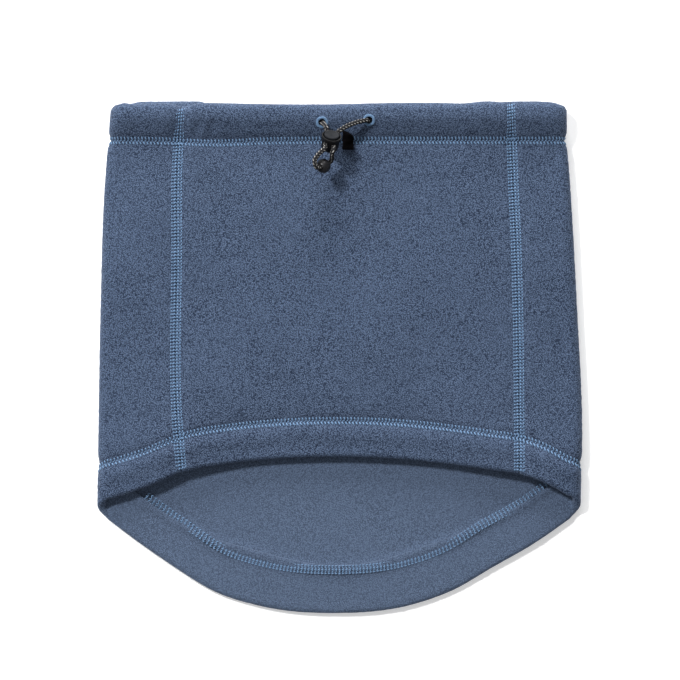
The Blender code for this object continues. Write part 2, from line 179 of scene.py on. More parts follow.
@dataclass
class MeshData:
    """Points in millimetres and faces, ready to become a piece."""

    points: Array
    corners: Array
    sizes: Array
    uv: Array | None = None

    def piece(self, name: str, sharp: float = 80.0) -> bpy.types.Object:
        """Make the object, with its place in its mesh.

        Args:
            name: the piece's name.
            sharp: the angle in degrees past which an edge stays sharp.

        Returns:
            The new object, linked to the scene.
        """
        data = bpy.data.meshes.new(name)
        data.vertices.add(len(self.points))
        data.vertices.foreach_set("co", (self.points * MM).astype(np.float32).ravel())
        data.loops.add(len(self.corners))
        data.loops.foreach_set("vertex_index", self.corners.astype(np.int32))
        data.polygons.add(len(self.sizes))
        starts = np.concatenate([[0], np.cumsum(self.sizes)[:-1]])
        data.polygons.foreach_set("loop_start", starts.astype(np.int32))
        data.update(calc_edges=True)
        if self.uv is not None:
            layer = data.uv_layers.new(name="UVMap")
            layer.uv.foreach_set("vector", self.uv.astype(np.float32).ravel())
        data.validate()
        made = bpy.data.objects.new(name, data)
        bpy.context.scene.collection.objects.link(made)
        Bench.select(made)
        bpy.ops.object.shade_smooth_by_angle(angle=math.radians(sharp))
        return made

    def copies(self, spots: "Spots") -> "MeshData":
        """Repeat this shape at many places.

        Args:
            spots: where each copy goes, how it is turned and its size.

        Returns:
            All the copies as one mesh, each with its own points.
        """
        count, size = len(spots.at), len(self.points)
        local = self.points[None] * spots.size[:, None]
        points = spots.at[:, None] + np.einsum("kni,kij->knj", local, spots.axes)
        offsets = (np.arange(count) * size)[:, None]
        return MeshData(
            points.reshape(-1, 3),
            (self.corners[None] + offsets).ravel(),
            np.tile(self.sizes, count),
            np.tile(self.uv, (count, 1)),
        )

    @staticmethod
    def taken(made: bpy.types.Object, scale: float) -> "MeshData":
        """Take a mapped object's mesh, whose unit is the given scale, and remove the object."""
        data = made.data
        points = np.array([v.co for v in data.vertices], float) / scale
        corners = np.array([loop.vertex_index for loop in data.loops])
        sizes = np.array([face.loop_total for face in data.polygons])
        uv = np.array([tuple(loop.uv) for loop in data.uv_layers.active.data])
        bpy.data.objects.remove(made)
        return MeshData(points, corners, sizes, uv)

    @staticmethod
    def joined(parts: Sequence["MeshData"]) -> "MeshData":
        """Put several mapped shapes into one mesh."""
        offset, corners = 0, []
        for part in parts:
            corners.append(part.corners + offset)
            offset += len(part.points)
        return MeshData(
            np.concatenate([part.points for part in parts]),
            np.concatenate(corners),
            np.concatenate([part.sizes for part in parts]),
            np.concatenate([part.uv for part in parts]),
        )

    @staticmethod
    def grid(rings: Array, uv: Array | None = None) -> "MeshData":
        """Skin a solid over rings of points, and close its two ends.

        Args:
            rings: one row of points for each ring, the points run round it.
            uv: the pattern's place at each point of each ring and once more at its start.

        Returns:
            The closed solid.
        """
        count, size = rings.shape[:2]
        i, k = np.meshgrid(np.arange(count - 1), np.arange(size), indexing="ij")
        i, k = i.ravel(), k.ravel()
        here, after = i * size, (k + 1) % size
        quads = np.stack([here + k, here + size + k, here + size + after, here + after], 1)
        corners, sizes = [quads.ravel()], [np.full(len(quads), 4)]
        maps = []
        if uv is not None:
            maps.append(np.stack([uv[i, k], uv[i + 1, k], uv[i + 1, k + 1], uv[i, k + 1]], 1).reshape(-1, 2))
        half = np.arange(size // 2 - 1)
        far = size - 1 - half
        for ring, turn in ((0, 1), (count - 1, -1)):
            strip = np.stack([half, half + 1, far - 1, far], 1)[:, ::turn]
            corners.append((strip + ring * size).ravel())
            sizes.append(np.full(len(strip), 4))
            if uv is not None:
                maps.append(uv[ring][strip.ravel()])
        return MeshData(
            rings.reshape(-1, 3),
            np.concatenate(corners),
            np.concatenate(sizes),
            np.concatenate(maps) if uv is not None else None,
        )

    def outward(self) -> "MeshData":
        """Turn a closed mesh's faces so that they point out."""
        starts = np.concatenate([[0], np.cumsum(self.sizes)[:-1]])
        a = self.points[self.corners[starts]]
        volume = 0.0
        for step in range(1, int(self.sizes.max()) - 1):
            use = self.sizes > step + 1
            b = self.points[self.corners[starts[use] + step]]
            c = self.points[self.corners[starts[use] + step + 1]]
            volume += np.einsum("ij,ij->", a[use], np.cross(b, c))
        if volume >= 0:
            return self
        flip = np.concatenate([s + np.arange(n)[::-1] for s, n in zip(starts, self.sizes)])
        uv = None if self.uv is None else self.uv[flip]
        return MeshData(self.points, self.corners[flip], self.sizes, uv)


@dataclass
class Spots:
    """Places for copies: where, which way each of the three axes points, and the three sizes."""

    at: Array
    axes: Array
    size: Array

    @staticmethod
    def along(at: Array, run: Array, up: Array, size: Sequence[float], turn: float = 0.0) -> "Spots":
        """Stand copies on a surface.

        Args:
            at: the middle of each copy.
            run: the way each copy's length points.
            up: the surface's normal at each copy.
            size: length, width and height of every copy.
            turn: degrees to turn each copy about its normal.

        Returns:
            The places.
        """
        up = unit(up)
        run = unit(run - up * np.einsum("ij,ij->i", run, up)[:, None])
        side = np.cross(up, run)
        angle = math.radians(turn)
        ahead = run * math.cos(angle) + side * math.sin(angle)
        axes = np.stack([ahead, np.cross(up, ahead), up], axis=1)
        return Spots(np.asarray(at, float), axes, np.tile(np.array(size, float), (len(at), 1)))


class Bench:
    """The few operator calls that every modelled piece starts and ends with."""

    @staticmethod
    def select(*objs: bpy.types.Object) -> None:
        """Select these objects only, the first of them active."""
        if bpy.context.mode != "OBJECT":
            bpy.ops.object.mode_set(mode="OBJECT")
        bpy.ops.object.select_all(action="DESELECT")
        for obj in objs:
            obj.select_set(True)
        bpy.context.view_layer.objects.active = objs[0] if objs else None

    @staticmethod
    def named(name: str) -> bpy.types.Object:
        """Name the active object and its mesh."""
        made = bpy.context.view_layer.objects.active
        made.name = made.data.name = name
        return made

    @staticmethod
    def pick(test: Callable[[Vector, Vector], bool]) -> None:
        """Select the faces of the object in edit mode whose middle and normal pass a test."""
        made = bpy.context.view_layer.objects.active
        bpy.ops.mesh.select_mode(type="FACE")
        bpy.ops.mesh.select_all(action="DESELECT")
        bpy.ops.object.mode_set(mode="OBJECT")
        for face in made.data.polygons:
            face.select = test(face.center / MM, face.normal)
        bpy.ops.object.mode_set(mode="EDIT")

    @staticmethod
    def apply(made: bpy.types.Object, kind: str, **settings: object) -> None:
        """Add a modifier, set it and apply it.

        Args:
            made: the object.
            kind: the modifier's type.
            settings: its properties.
        """
        Bench.select(made)
        modifier = made.modifiers.new(kind.lower(), kind)
        for key, value in settings.items():
            setattr(modifier, key, value)
        bpy.ops.object.modifier_apply(modifier=modifier.name)

    @staticmethod
    def squeeze(*share: float) -> None:
        """Scale the whole active object in edit mode."""
        bpy.ops.object.mode_set(mode="EDIT")
        bpy.ops.mesh.select_all(action="SELECT")
        bpy.ops.transform.resize(value=share)
        bpy.ops.object.mode_set(mode="OBJECT")

    @staticmethod
    def soften(made: bpy.types.Object, width: float, angle: float = 38) -> None:
        """Round the corners past an angle in degrees by a width in millimetres."""
        limit = {"limit_method": "ANGLE", "angle_limit": math.radians(angle)}
        Bench.apply(made, "BEVEL", width=width * MM, segments=2, **limit)
        bpy.ops.object.shade_smooth_by_angle(angle=math.radians(35))

    @staticmethod
    def cut(made: bpy.types.Object, cutter: bpy.types.Object) -> None:
        """Cut one object out of another, and remove the cutter."""
        Bench.apply(made, "BOOLEAN", object=cutter, operation="DIFFERENCE", solver="EXACT")
        bpy.data.objects.remove(cutter)

    @staticmethod
    def drill(made: bpy.types.Object, middle: Vector, axis: Vector, radius: float, depth: float) -> None:
        """Cut a round hole.

        Args:
            made: the object to cut.
            middle: the middle of the cutter, in millimetres.
            axis: the way it runs.
            radius: the hole's radius.
            depth: the cutter's whole length.
        """
        Bench.select()
        bpy.ops.mesh.primitive_cylinder_add(
            vertices=48,
            radius=radius * MM,
            depth=depth * MM,
            location=middle * MM,
            rotation=axis.to_track_quat("Z", "Y").to_euler(),
        )
        Bench.cut(made, Bench.named("drill"))


# ---------------------------------------------------------------- materials


class Value:
    """A number that varies over a surface, and takes Python's operators."""

    def __init__(self, sheet: "NodeSheet", socket: bpy.types.NodeSocket) -> None:
        """Wrap a socket of a node sheet."""
        self.sheet, self.socket = sheet, socket

    def math(self, operation: str, *others: "Value | float", flip: bool = False) -> "Value":
        """Add one Math node.

        Args:
            operation: the node's operation.
            others: its other inputs.
            flip: whether this value comes second.

        Returns:
            The node's result.
        """
        inputs = (*others, self) if flip else (self, *others)
        return self.sheet.add("ShaderNodeMath", {"operation": operation}, dict(enumerate(inputs)))

    def __add__(self, other: "Value | float") -> "Value":
        """Add."""
        return self.math("ADD", other)

    def __sub__(self, other: "Value | float") -> "Value":
        """Subtract."""
        return self.math("SUBTRACT", other)

    def __rsub__(self, other: float) -> "Value":
        """Subtract from a number."""
        return self.math("SUBTRACT", other, flip=True)

    def __mul__(self, other: "Value | float") -> "Value":
        """Multiply."""
        return self.math("MULTIPLY", other)

    def __truediv__(self, other: "Value | float") -> "Value":
        """Divide."""
        return self.math("DIVIDE", other)

    __radd__, __rmul__ = __add__, __mul__

    def step(self, low: float, high: float, first: float = 0.0, last: float = 1.0) -> "Value":
        """Ease from one level to another as this value passes between two.

        Args:
            low: where the rise starts.
            high: where it ends.
            first: the level before it.
            last: the level after it.

        Returns:
            The eased value.
        """
        settings = {"interpolation_type": "SMOOTHSTEP"}
        return self.sheet.add("ShaderNodeMapRange", settings, dict(enumerate((self, low, high, first, last))))


class NodeSheet:
    """One material and the nodes on it."""

    def __init__(self, name: str) -> None:
        """Start a material with a Principled shader."""
        self.material = bpy.data.materials.new(name)
        self.material.use_nodes = True
        self.tree = self.material.node_tree
        self.shader = self.tree.nodes["Principled BSDF"]

    def add(
        self,
        kind: str,
        settings: dict[str, object] | None = None,
        inputs: dict[str | int, object] | None = None,
        output: str | int = 0,
    ) -> Value:
        """Add a node.

        Args:
            kind: the node's type.
            settings: its properties.
            inputs: values or links for its sockets, by name or number.
            output: the socket to hand back.

        Returns:
            The output, wrapped.
        """
        node = self.tree.nodes.new(kind)
        for key, value in (settings or {}).items():
            setattr(node, key, value)
        for key, value in (inputs or {}).items():
            self.put(node.inputs[key], value)
        return Value(self, node.outputs[output])

    def put(self, socket: bpy.types.NodeSocket, value: object) -> None:
        """Set a socket to a value, a colour or a link."""
        if isinstance(value, Value):
            self.tree.links.new(value.socket, socket)
        elif isinstance(value, tuple) and socket.type == "RGBA":
            socket.default_value = (*value, 1)
        else:
            socket.default_value = value

    def place(self, *stretch: float) -> Value:
        """The surface's place in millimetres, stretched along each axis as a pattern needs."""
        at = self.add("ShaderNodeTexCoord", output="Object")
        size = tuple(share / MM for share in stretch or (1, 1, 1))
        return self.add("ShaderNodeMapping", None, {"Vector": at, "Scale": size})

    def split(self, at: Value) -> list[Value]:
        """The three numbers of a place."""
        node = self.tree.nodes.new("ShaderNodeSeparateXYZ")
        self.put(node.inputs[0], at)
        return [Value(self, output) for output in node.outputs]

    def map(self) -> list[Value]:
        """The two numbers of the piece's own map."""
        return self.split(self.add("ShaderNodeTexCoord", output="UV"))[:2]

    def noise(
        self, at: Value, size: float, detail: float = 2.0, rough: float = 0.5, bend: float = 0.0
    ) -> Value:
        """Cloudy noise.

        Args:
            at: the place.
            size: the size of one cloud, in millimetres.
            detail: how many finer layers it has.
            rough: how strong they are.
            bend: how far it is distorted.

        Returns:
            The noise, from 0 to 1.
        """
        inputs = {"Vector": at, "Scale": 1 / size, "Detail": detail, "Roughness": rough, "Distortion": bend}
        return self.add("ShaderNodeTexNoise", None, inputs)

    def cells(self, at: Value, size: float) -> Value:
        """The distance in a field of cells of the given size in millimetres."""
        return self.add("ShaderNodeTexVoronoi", None, {"Vector": at, "Scale": 1 / size})

    def mix(self, share: Value | float, first: object, second: object, how: str = "MIX") -> Value:
        """Mix two colours.

        Args:
            share: how much of the second.
            first: the first colour.
            second: the second colour.
            how: the way to blend them.

        Returns:
            The mixed colour.
        """
        settings = {"data_type": "RGBA", "blend_type": how}
        return self.add("ShaderNodeMix", settings, {0: share, 6: first, 7: second}, output=2)

    def relief(self, heights: Value, depth: float, strength: float = 1.0) -> None:
        """Raise the surface by up to a depth in millimetres."""
        inputs = {"Height": heights, "Distance": depth * MM, "Strength": strength}
        self.put(self.shader.inputs["Normal"], self.add("ShaderNodeBump", None, inputs))

    def finish(self, **sockets: object) -> bpy.types.Material:
        """Set the shader's sockets, whose names have _ for a space, and hand back the material."""
        for name, value in sockets.items():
            self.put(self.shader.inputs[name.replace("_", " ")], value)
        return self.material


@dataclass(frozen=True)
class Fleece:
    """Brushed polar fleece: pebbled pile over a knit, with a soft sheen and painted light and shade in its
    pile.
    """

    name: str = "polar_fleece"
    pile: Colour = (0.07, 0.102, 0.17)
    # painted light and shade of the pile: the colour of its lit tips, then of its shaded hollows
    lit_tip: Colour = (0.119, 0.17, 0.272)
    shaded_root: Colour = (0.013, 0.021, 0.043)
    inside: Colour = (0.131, 0.178, 0.264)
    pebble: float = 0.66
    depth: float = 0.3

    def make(self) -> bpy.types.Material:
        """Make the material."""
        sheet = NodeSheet(self.name)
        at = sheet.place()
        drift = sheet.add("ShaderNodeTexNoise", None, {"Vector": at, "Scale": 0.7}, output="Color")
        shift = {0: drift, 1: (0.9, 0.9, 0.9), 2: at}
        bent = sheet.add("ShaderNodeVectorMath", {"operation": "MULTIPLY_ADD"}, shift)
        pebbles = 1 - sheet.cells(bent, self.pebble).step(0.1, 0.85)
        curls = (sheet.noise(bent, self.pebble * 0.8, 1.0, 0.5, 0.5) - 0.5).math("ABSOLUTE").step(0.0, 0.14)
        fibre = sheet.noise(at, 0.45, 3.0, 0.7)
        cloud = sheet.noise(at, 30.0, 3.0, 0.5)
        height = pebbles * 0.6 + curls * 0.2 + fibre * 0.35
        # Painted light and shade: the nap's crests get the lit colour and its hollows the shaded one.
        light = height.step(0.24, 1.0)
        low = sheet.split(at)[2].step(5.0, 9.0, 0.3, 0.0)
        colour = sheet.mix(light, self.shaded_root, self.lit_tip)
        colour = sheet.mix(cloud.step(0.3, 0.7, 0.0, 0.16), colour, self.pile)
        colour = sheet.mix(low, colour, self.inside)
        sheet.relief(height, self.depth, 0.9)
        return sheet.finish(
            Base_Color=colour,
            Roughness=fibre.step(0.2, 0.8, 0.86, 0.98),
            Specular_IOR_Level=0.15,
            Sheen_Weight=0.22,
            Sheen_Roughness=0.35,
            Sheen_Tint=(0.62, 0.75, 1.0),
        )


@dataclass(frozen=True)
class Thread:
    """Twisted sewing thread: two plies with a slight shine, and painted shade in the grooves between them."""

    name: str = "sewing_thread"
    # the light colour is the plies' painted lit crests; the dark one is both their painted groove shade and a
    # darker dye batch
    light: Colour = (0.208, 0.367, 0.595)
    dark: Colour = (0.05, 0.1, 0.19)
    # painted shade of the needle holes, put on both ends of each stitch
    hole: Colour = (0.012, 0.02, 0.042)
    plies: float = 5.0

    def make(self) -> bpy.types.Material:
        """Make the material."""
        sheet = NodeSheet(self.name)
        around, along = sheet.map()
        at = sheet.place()
        twist = (along * (self.plies * math.tau) + around * math.tau).math("SINE")
        groove = twist.step(-0.9, 0.4)
        fuzz = sheet.noise(at, 0.3, 3.0, 0.6)
        batch = sheet.noise(at, 4.0, 2.0)
        # Painted shade: the grooves between the twisted plies are coloured dark, and the fuzz adds real
        # flecks of tone.
        ply_shade_and_fuzz = groove * 0.65 + fuzz * 0.35
        colour = sheet.mix(ply_shade_and_fuzz, self.dark, self.light)
        colour = sheet.mix(batch.step(0.35, 0.7, 0.0, 0.22), colour, self.dark)
        # Painted shade: the ends of each stitch, where it dives into the cloth, are coloured near black.
        dive_shade = (along - 0.5).math("ABSOLUTE").step(0.24, 0.44)
        colour = sheet.mix(dive_shade * 0.7, colour, self.hole)
        sheet.relief(groove * 0.8 + fuzz * 0.3, 0.12, 0.7)
        return sheet.finish(
            Base_Color=colour,
            Roughness=fuzz.step(0.2, 0.8, 0.45, 0.7),
            Specular_IOR_Level=0.4,
            Sheen_Weight=0.15,
            Sheen_Roughness=0.4,
        )


@dataclass(frozen=True)
class BraidedCord:
    """Elastic cord in a black braid with pale tracer flecks and painted highlights on the braid's crests."""

    name: str = "braided_cord"
    dark: Colour = (0.006, 0.006, 0.007)
    fleck: Colour = (0.46, 0.45, 0.43)
    pitch: float = 1.8
    rows: int = 4

    def make(self) -> bpy.types.Material:
        """Make the material; the map runs in millimetres along and from 0 to 1 round."""
        sheet = NodeSheet(self.name)
        along, around = sheet.map()
        at = sheet.place()
        lane = around * float(self.rows)
        odd = (lane.math("FLOOR") * 0.5).math("FRACT") * 2.0
        across = lane.math("FRACT") - 0.5
        slant = (odd * 2.0 - 1.0) * across * 0.95
        step = (along / self.pitch + odd * 0.5 + slant).math("FRACT") - 0.5
        oval = ((step * 3.6).math("POWER", 2.0) + (across * 2.9).math("POWER", 2.0)).math("SQRT")
        fuzz = sheet.noise(at, 0.22, 3.0, 0.6)
        spot = 1 - (oval + (fuzz - 0.5) * 0.5).step(0.42, 0.8)
        ahead, aside = along / self.pitch * (4 * math.tau), around * (self.rows * math.tau)
        ribs = (ahead + aside).math("SINE").math("MAXIMUM", (ahead - aside).math("SINE")).step(-0.2, 1.0)
        # Painted highlight: the braid's raised crests are coloured a lighter grey.
        colour = sheet.mix(ribs, self.dark, (0.02, 0.02, 0.022))
        colour = sheet.mix(spot * fuzz.step(0.15, 0.6, 0.55, 1.0), colour, self.fleck)
        sheet.relief(ribs * 0.7 + spot * 0.5 + fuzz * 0.3, 0.12, 0.7)
        return sheet.finish(
            Base_Color=colour,
            Roughness=fuzz.step(0.2, 0.8, 0.65, 0.9),
            Specular_IOR_Level=0.15,
        )


@dataclass(frozen=True)
class MouldedPlastic:
    """Moulded nylon with a fine spark texture, rubbed smoother where fingers press it."""

    name: str
    colour: Colour = (0.014, 0.014, 0.016)
    worn: Colour = (0.05, 0.052, 0.055)
    rough: float = 0.5
    shine: float = 0.3
    grain: float = 0.3

    def make(self) -> bpy.types.Material:
        """Make the material."""
        sheet = NodeSheet(self.name)
        at = sheet.place()
        pits = sheet.cells(at, self.grain)
        grit = sheet.noise(at, self.grain * 0.8, 4.0, 0.7)
        scuff = sheet.noise(at, 3.2, 4.0, 0.7, 0.6)
        line = sheet.noise(sheet.place(0.3, 2.6, 0.9), 0.9, 3.0, 0.6)
        scratch = (line - 0.5).math("ABSOLUTE").step(0.0, 0.02, 1.0, 0.0) * scuff.step(0.5, 0.7)
        colour = sheet.mix(scuff.step(0.42, 0.8, 0.0, 0.5), self.colour, self.worn)
        colour = sheet.mix(scratch * 0.3, colour, self.worn)
        sheet.relief(pits * 0.5 + grit * 0.5, 0.05, 0.45)
        return sheet.finish(
            Base_Color=colour,
            Roughness=scuff.step(0.3, 0.75, self.rough + 0.08, self.rough - 0.1) + grit * 0.06,
            Specular_IOR_Level=self.shine,
        )


@dataclass(frozen=True)
class SpringSteel:
    """Drawn spring wire with faint die lines."""

    name: str = "spring_steel"
    bright: Colour = (0.55, 0.54, 0.52)
    dull: Colour = (0.2, 0.19, 0.18)

    def make(self) -> bpy.types.Material:
        """Make the material."""
        sheet = NodeSheet(self.name)
        along, around = sheet.map()
        at = sheet.place()
        lines = (around * (9 * math.tau)).math("SINE")
        stain = sheet.noise(at, 1.2, 3.0, 0.6)
        colour = sheet.mix(stain.step(0.4, 0.8, 0.0, 0.7), self.bright, self.dull)
        sheet.relief(lines * 0.3 + stain * 0.4, 0.02, 0.5)
        return sheet.finish(Base_Color=colour, Metallic=1.0, Roughness=stain.step(0.3, 0.8, 0.25, 0.5))


@dataclass(frozen=True)
class WovenTape:
    """Ribbed black tape: fine cross ribs with painted highlights on their crests, and a lighter selvedge
    along each side.
    """

    name: str = "ribbed_tape"
    dark: Colour = (0.0006, 0.0004, 0.0007)
    lit_rib_and_selvedge: Colour = (0.0035, 0.0025, 0.004)

    def make(self) -> bpy.types.Material:
        """Make the material; the map runs in millimetres along and from 0 to 1 across."""
        sheet = NodeSheet(self.name)
        along, across = sheet.map()
        at = sheet.place()
        ribs = (along * (math.tau / 0.8)).math("SINE").step(-0.6, 0.8)
        ends = (across * (math.tau * 22)).math("SINE").step(-0.8, 0.8)
        edge = (across - 0.5).math("ABSOLUTE").step(0.4, 0.47)
        fuzz = sheet.noise(at, 0.25, 3.0, 0.6)
        weave = ribs * 0.7 + ends * ribs * 0.3
        # Painted highlight: the rib crests are coloured lighter; the selvedges take the same lighter tone.
        colour = sheet.mix(weave * 0.8 + fuzz * 0.2, self.dark, self.lit_rib_and_selvedge)
        colour = sheet.mix(edge * 0.35, colour, self.lit_rib_and_selvedge)
        sheet.relief(weave + fuzz * 0.3 + edge * 0.3, 0.14, 0.8)
        return sheet.finish(
            Base_Color=colour,
            Roughness=fuzz.step(0.2, 0.8, 0.8, 0.95),
            Specular_IOR_Level=0.07,
        )


@dataclass(frozen=True)
class Table:
    """The plain pale table top."""

    name: str = "pale_table"
    colour: Colour = (0.85, 0.85, 0.85)
    glow: float = 0.38

    def make(self) -> bpy.types.Material:
        """Make the material."""
        sheet = NodeSheet(self.name)
        return sheet.finish(
            Base_Color=self.colour,
            Roughness=0.9,
            Specular_IOR_Level=0.1,
            Emission_Color=self.colour,
            Emission_Strength=self.glow,
        )


class Finishes:
    """Every finish, made once."""

    def __init__(self) -> None:
        """Make them all."""
        black = (0.005, 0.005, 0.006)
        self.fleece = Fleece().make()
        self.thread = Thread().make()
        self.cord = BraidedCord().make()
        self.barrel = MouldedPlastic("barrel_nylon", black, (0.016, 0.017, 0.019), 0.5, 0.18).make()
        self.button = MouldedPlastic(
            "button_nylon", (0.0095, 0.0108, 0.0135), (0.018, 0.0198, 0.023), 0.6, 0.12
        ).make()
        self.ball = MouldedPlastic("ball_nylon", (0.005, 0.005, 0.0065), (0.018, 0.018, 0.021), 0.42).make()
        self.steel = SpringSteel().make()
        self.tape = WovenTape().make()


def dress(
    piece: bpy.types.Object, finish: bpy.types.Material, node: str, body: Body | None = None
) -> None:
    """Finish a piece, let it stand for its CAD node, and report it.

    Args:
        piece: the piece.
        finish: its material.
        node: the CAD node that it replaces.
        body: the body that it rides on, if any.
    """
    piece.data.materials.clear()
    piece.data.materials.append(finish)
    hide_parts(node)
    if body is not None:
        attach(piece, body.value)
    log.info("%s: %d faces", piece.name, len(piece.data.polygons))


# ---------------------------------------------------------------- the flat tube


@dataclass(frozen=True)
class TubeForm:
    """The shape of the gaiter laid flat, in millimetres: the front on top, the back on the table."""

    top_y: float = 148.6
    corner: float = 0.4
    cloth: float = 2.2
    seam_gap: float = 0.3
    channel: float = 3.6
    body_height: float = 11.0
    casing_depth: float = 20.6
    casing_row: float = 126.4
    front_hem: float = 23.5
    back_hem: float = 28.0
    back_row: float = 25.6
    row_inset: float = 2.3
    seam_band: float = 5.4
    hem_half: float = 133.0
    hem_y: float = -80.0
    casing_roll: Stops = (
        (124.3, 0.0), (126.9, 0.15), (129.3, 1.9), (133.5, 3.9),
        (138.0, 5.8), (141.5, 6.5), (145.2, 5.9), (148.6, 4.4),
    )
    half_widths: Stops = (
        (-152, 140.7, 140.7), (-85, 140.8, 140.3), (-40, 140.2, 141.2), (30, 139.0, 138.2),
        (100, 136.6, 134.3), (128, 134.4, 132.3), (150, 132.2, 132.0),
    )
    seams: Stops = (
        (-72, -91.0, 104.2), (-30, -94.4, 104.2), (60, -94.4, 102.6), (118, -93.8, 100.2), (150, -91.2, 98.9),
    )
    front_edge: Stops = (
        (-136, -82.5), (-113, -75.2), (-92.5, -66.6), (-60, -60.7), (-35, -58.4), (0, -57.3),
        (32, -58.4), (62, -61.3), (88, -64.8), (104, -67.2), (119, -72.3), (134, -80.5),
    )
    back_edge: Stops = (
        (-134, -93.5), (-115, -107.8), (-95, -121.8), (-73, -135.5), (-45, -144.6), (-3, -148.6),
        (42, -143.6), (65, -135.4), (89, -121.6), (113, -107.7), (134, -93.0),
    )

    def height(self, y: Array) -> Array:
        """The top of the front over the table: level, then up over the casing's round roll."""
        return self.body_height + curve(y, self.casing_roll) + 1.5 * smooth((-30 - y) / 25)

    def both(self, y: Array, stops: Stops, side: Array) -> Array:
        """Read a table that has a column for the left and one for the right."""
        return np.where(side > 0, curve(y, stops, 2), curve(y, stops, 1))

    def half_width(self, y: Array, side: Array) -> Array:
        """How far the side reaches, pulled in a little where rows of stitches meet it."""
        pull = 0.7 * bell(y - self.casing_row, 3.2) + 0.8 * bell(y + 60, 2.6)
        return self.both(y, self.half_widths, side) - pull

    def seam(self, y: Array, side: Array) -> Array:
        """Where the seam runs."""
        return self.both(y, self.seams, side)

    def flat_end(self, y: Array, side: Array) -> Array:
        """How far the flat front reaches before it rolls over the side."""
        return self.half_width(y, side) - self.height(y) / 2

    def hem_at(self, path: Array) -> tuple[Array, Array]:
        """The lower edge all the way round, and the row that holds the hem.

        Args:
            path: distance round the tube from the front's middle.

        Returns:
            The edge's y and the row's y.
        """
        path = np.asarray(path, float)
        side, reach = np.where(path < 0, -1.0, 1.0), np.abs(path)
        level = np.full_like(path, self.hem_y)
        flat, arc = self.flat_end(level, side), math.pi * self.height(level) / 2
        share = np.clip((reach - flat) / arc, 0, 1)
        front = curve(np.clip(path, -self.hem_half, self.hem_half), self.front_edge)
        back = curve(side * np.clip(2 * flat + arc - reach, 0, self.hem_half), self.back_edge)
        edge = front + (back - front) * share
        far = np.clip((2 * flat + arc - reach) / flat, 0, 1)
        deep = self.front_hem + (self.back_hem - self.front_hem) * share
        deep = deep + np.where(share < 1, 0.0, 4 * np.sin(math.pi * np.minimum(1, 1.25 * far)) ** 2)
        return edge, edge + deep - self.row_inset

    def top_at(self, path: Array) -> Array:
        """The y of the casing's upper edge on the front, which sags a little between the sides."""
        path = np.asarray(path, float)
        sag = 0.95 + 2.0 * bell(path + 91, 6.5) - 1.35 * smooth((path - 72) / 20)
        sag = sag + 0.5 * np.sin(path / 23 + 2.4) * (1 - smooth((path - 60) / 20))
        return self.top_y - sag * smooth((135 - np.abs(path)) / 6) - 0.45 * bell(path - 99, 5)

    def casing_at(self, path: Array) -> Array:
        """The y of the row that holds the casing."""
        return self.casing_row - 1.5 * bell(np.asarray(path, float) + 72, 24)

    def swell(self, path: Array, y: Array) -> Array:
        """How far the cloth stands out from the plain tube: rows pull it in, and it puffs between them.

        Args:
            path: distance round the tube from the front's middle.
            y: place along it.

        Returns:
            The swell in millimetres, outwards.
        """
        side = np.where(path < 0, -1.0, 1.0)
        flat, high = self.flat_end(y, side), self.height(y)
        reach = np.abs(path)
        front = 1 - smooth((reach - flat + 2) / 10)
        under = smooth((reach - flat - math.pi * high / 2 + 6) / 10)
        _, row = self.hem_at(path)
        row_above = self.casing_at(path)
        in_hem = smooth((row - y) / 2)
        swell = 0.0
        for each in Side:
            swell = swell - 0.95 * bell(path - self.seam(y, each.value), 3.4)
        swell -= 2.4 * (1 - smooth((reach - 48) / 58)) * smooth((-20 - y) / 35)
        swell += 2.4 * bell(path - 117, 17) * smooth((-46 - y) / 24)
        swell -= 1.15 * bell(y - row, 2.6) - 0.9 * bell(y - row + 8, 5.0)
        swell -= 0.9 * bell(y - row_above, 2.9)
        casing = smooth((y - row_above) / 4)
        swell -= 1.3 * casing * bell(path + 91.5, 5.5)
        swell -= 1.1 * bell(path + 82 - 0.5 * (y - 134), 2.8) * bell(y - 133, 6.5)
        swell -= 0.9 * bell(path + 73 - 0.35 * (y - 134), 2.6) * bell(y - 132, 5.5)
        tuck = np.sin(path / 2.35 + 1.4 * np.sin(path / 9))
        tuck = tuck + 0.7 * np.sin(path / 1.37 + 2 * np.sin(path / 15))
        swell += 0.22 * tuck * (bell(y - row_above - 5.5, 4.5) + 0.6 * bell(y - row_above + 5, 4))
        swell += 0.13 * tuck * (bell(y - row - 4.5, 4) + bell(y - row + 5, 4))
        waves = (
            0.42 * np.sin(path / 19 + y / 31 + 1.0)
            + 0.36 * np.sin(path / 37 - y / 17 + 2.2)
            + 0.30 * np.sin(path / 13 - y / 26 + 0.4)
            + 0.22 * np.sin(path / 9.5 + y / 11 + 4.0)
            + 0.12 * np.sin(path / 4.1 - y / 5.3) * np.sin(path / 6.7 + y / 4.9)
        )
        swell += waves * (1 - 0.6 * in_hem) * (1 - smooth((y - 120) / 10) * 0.6)
        x = side * (2 * flat + math.pi * high / 2 - reach)
        grooves = -1.1 * np.maximum(bell(y - row, 2.6), bell(y - row_above, 2.6))
        below = grooves - 0.3 - 0.3 * np.sin(x / 21 + y / 27)
        round_side = (1 - front) * (1 - under)
        return swell * front + below * under + grooves * round_side

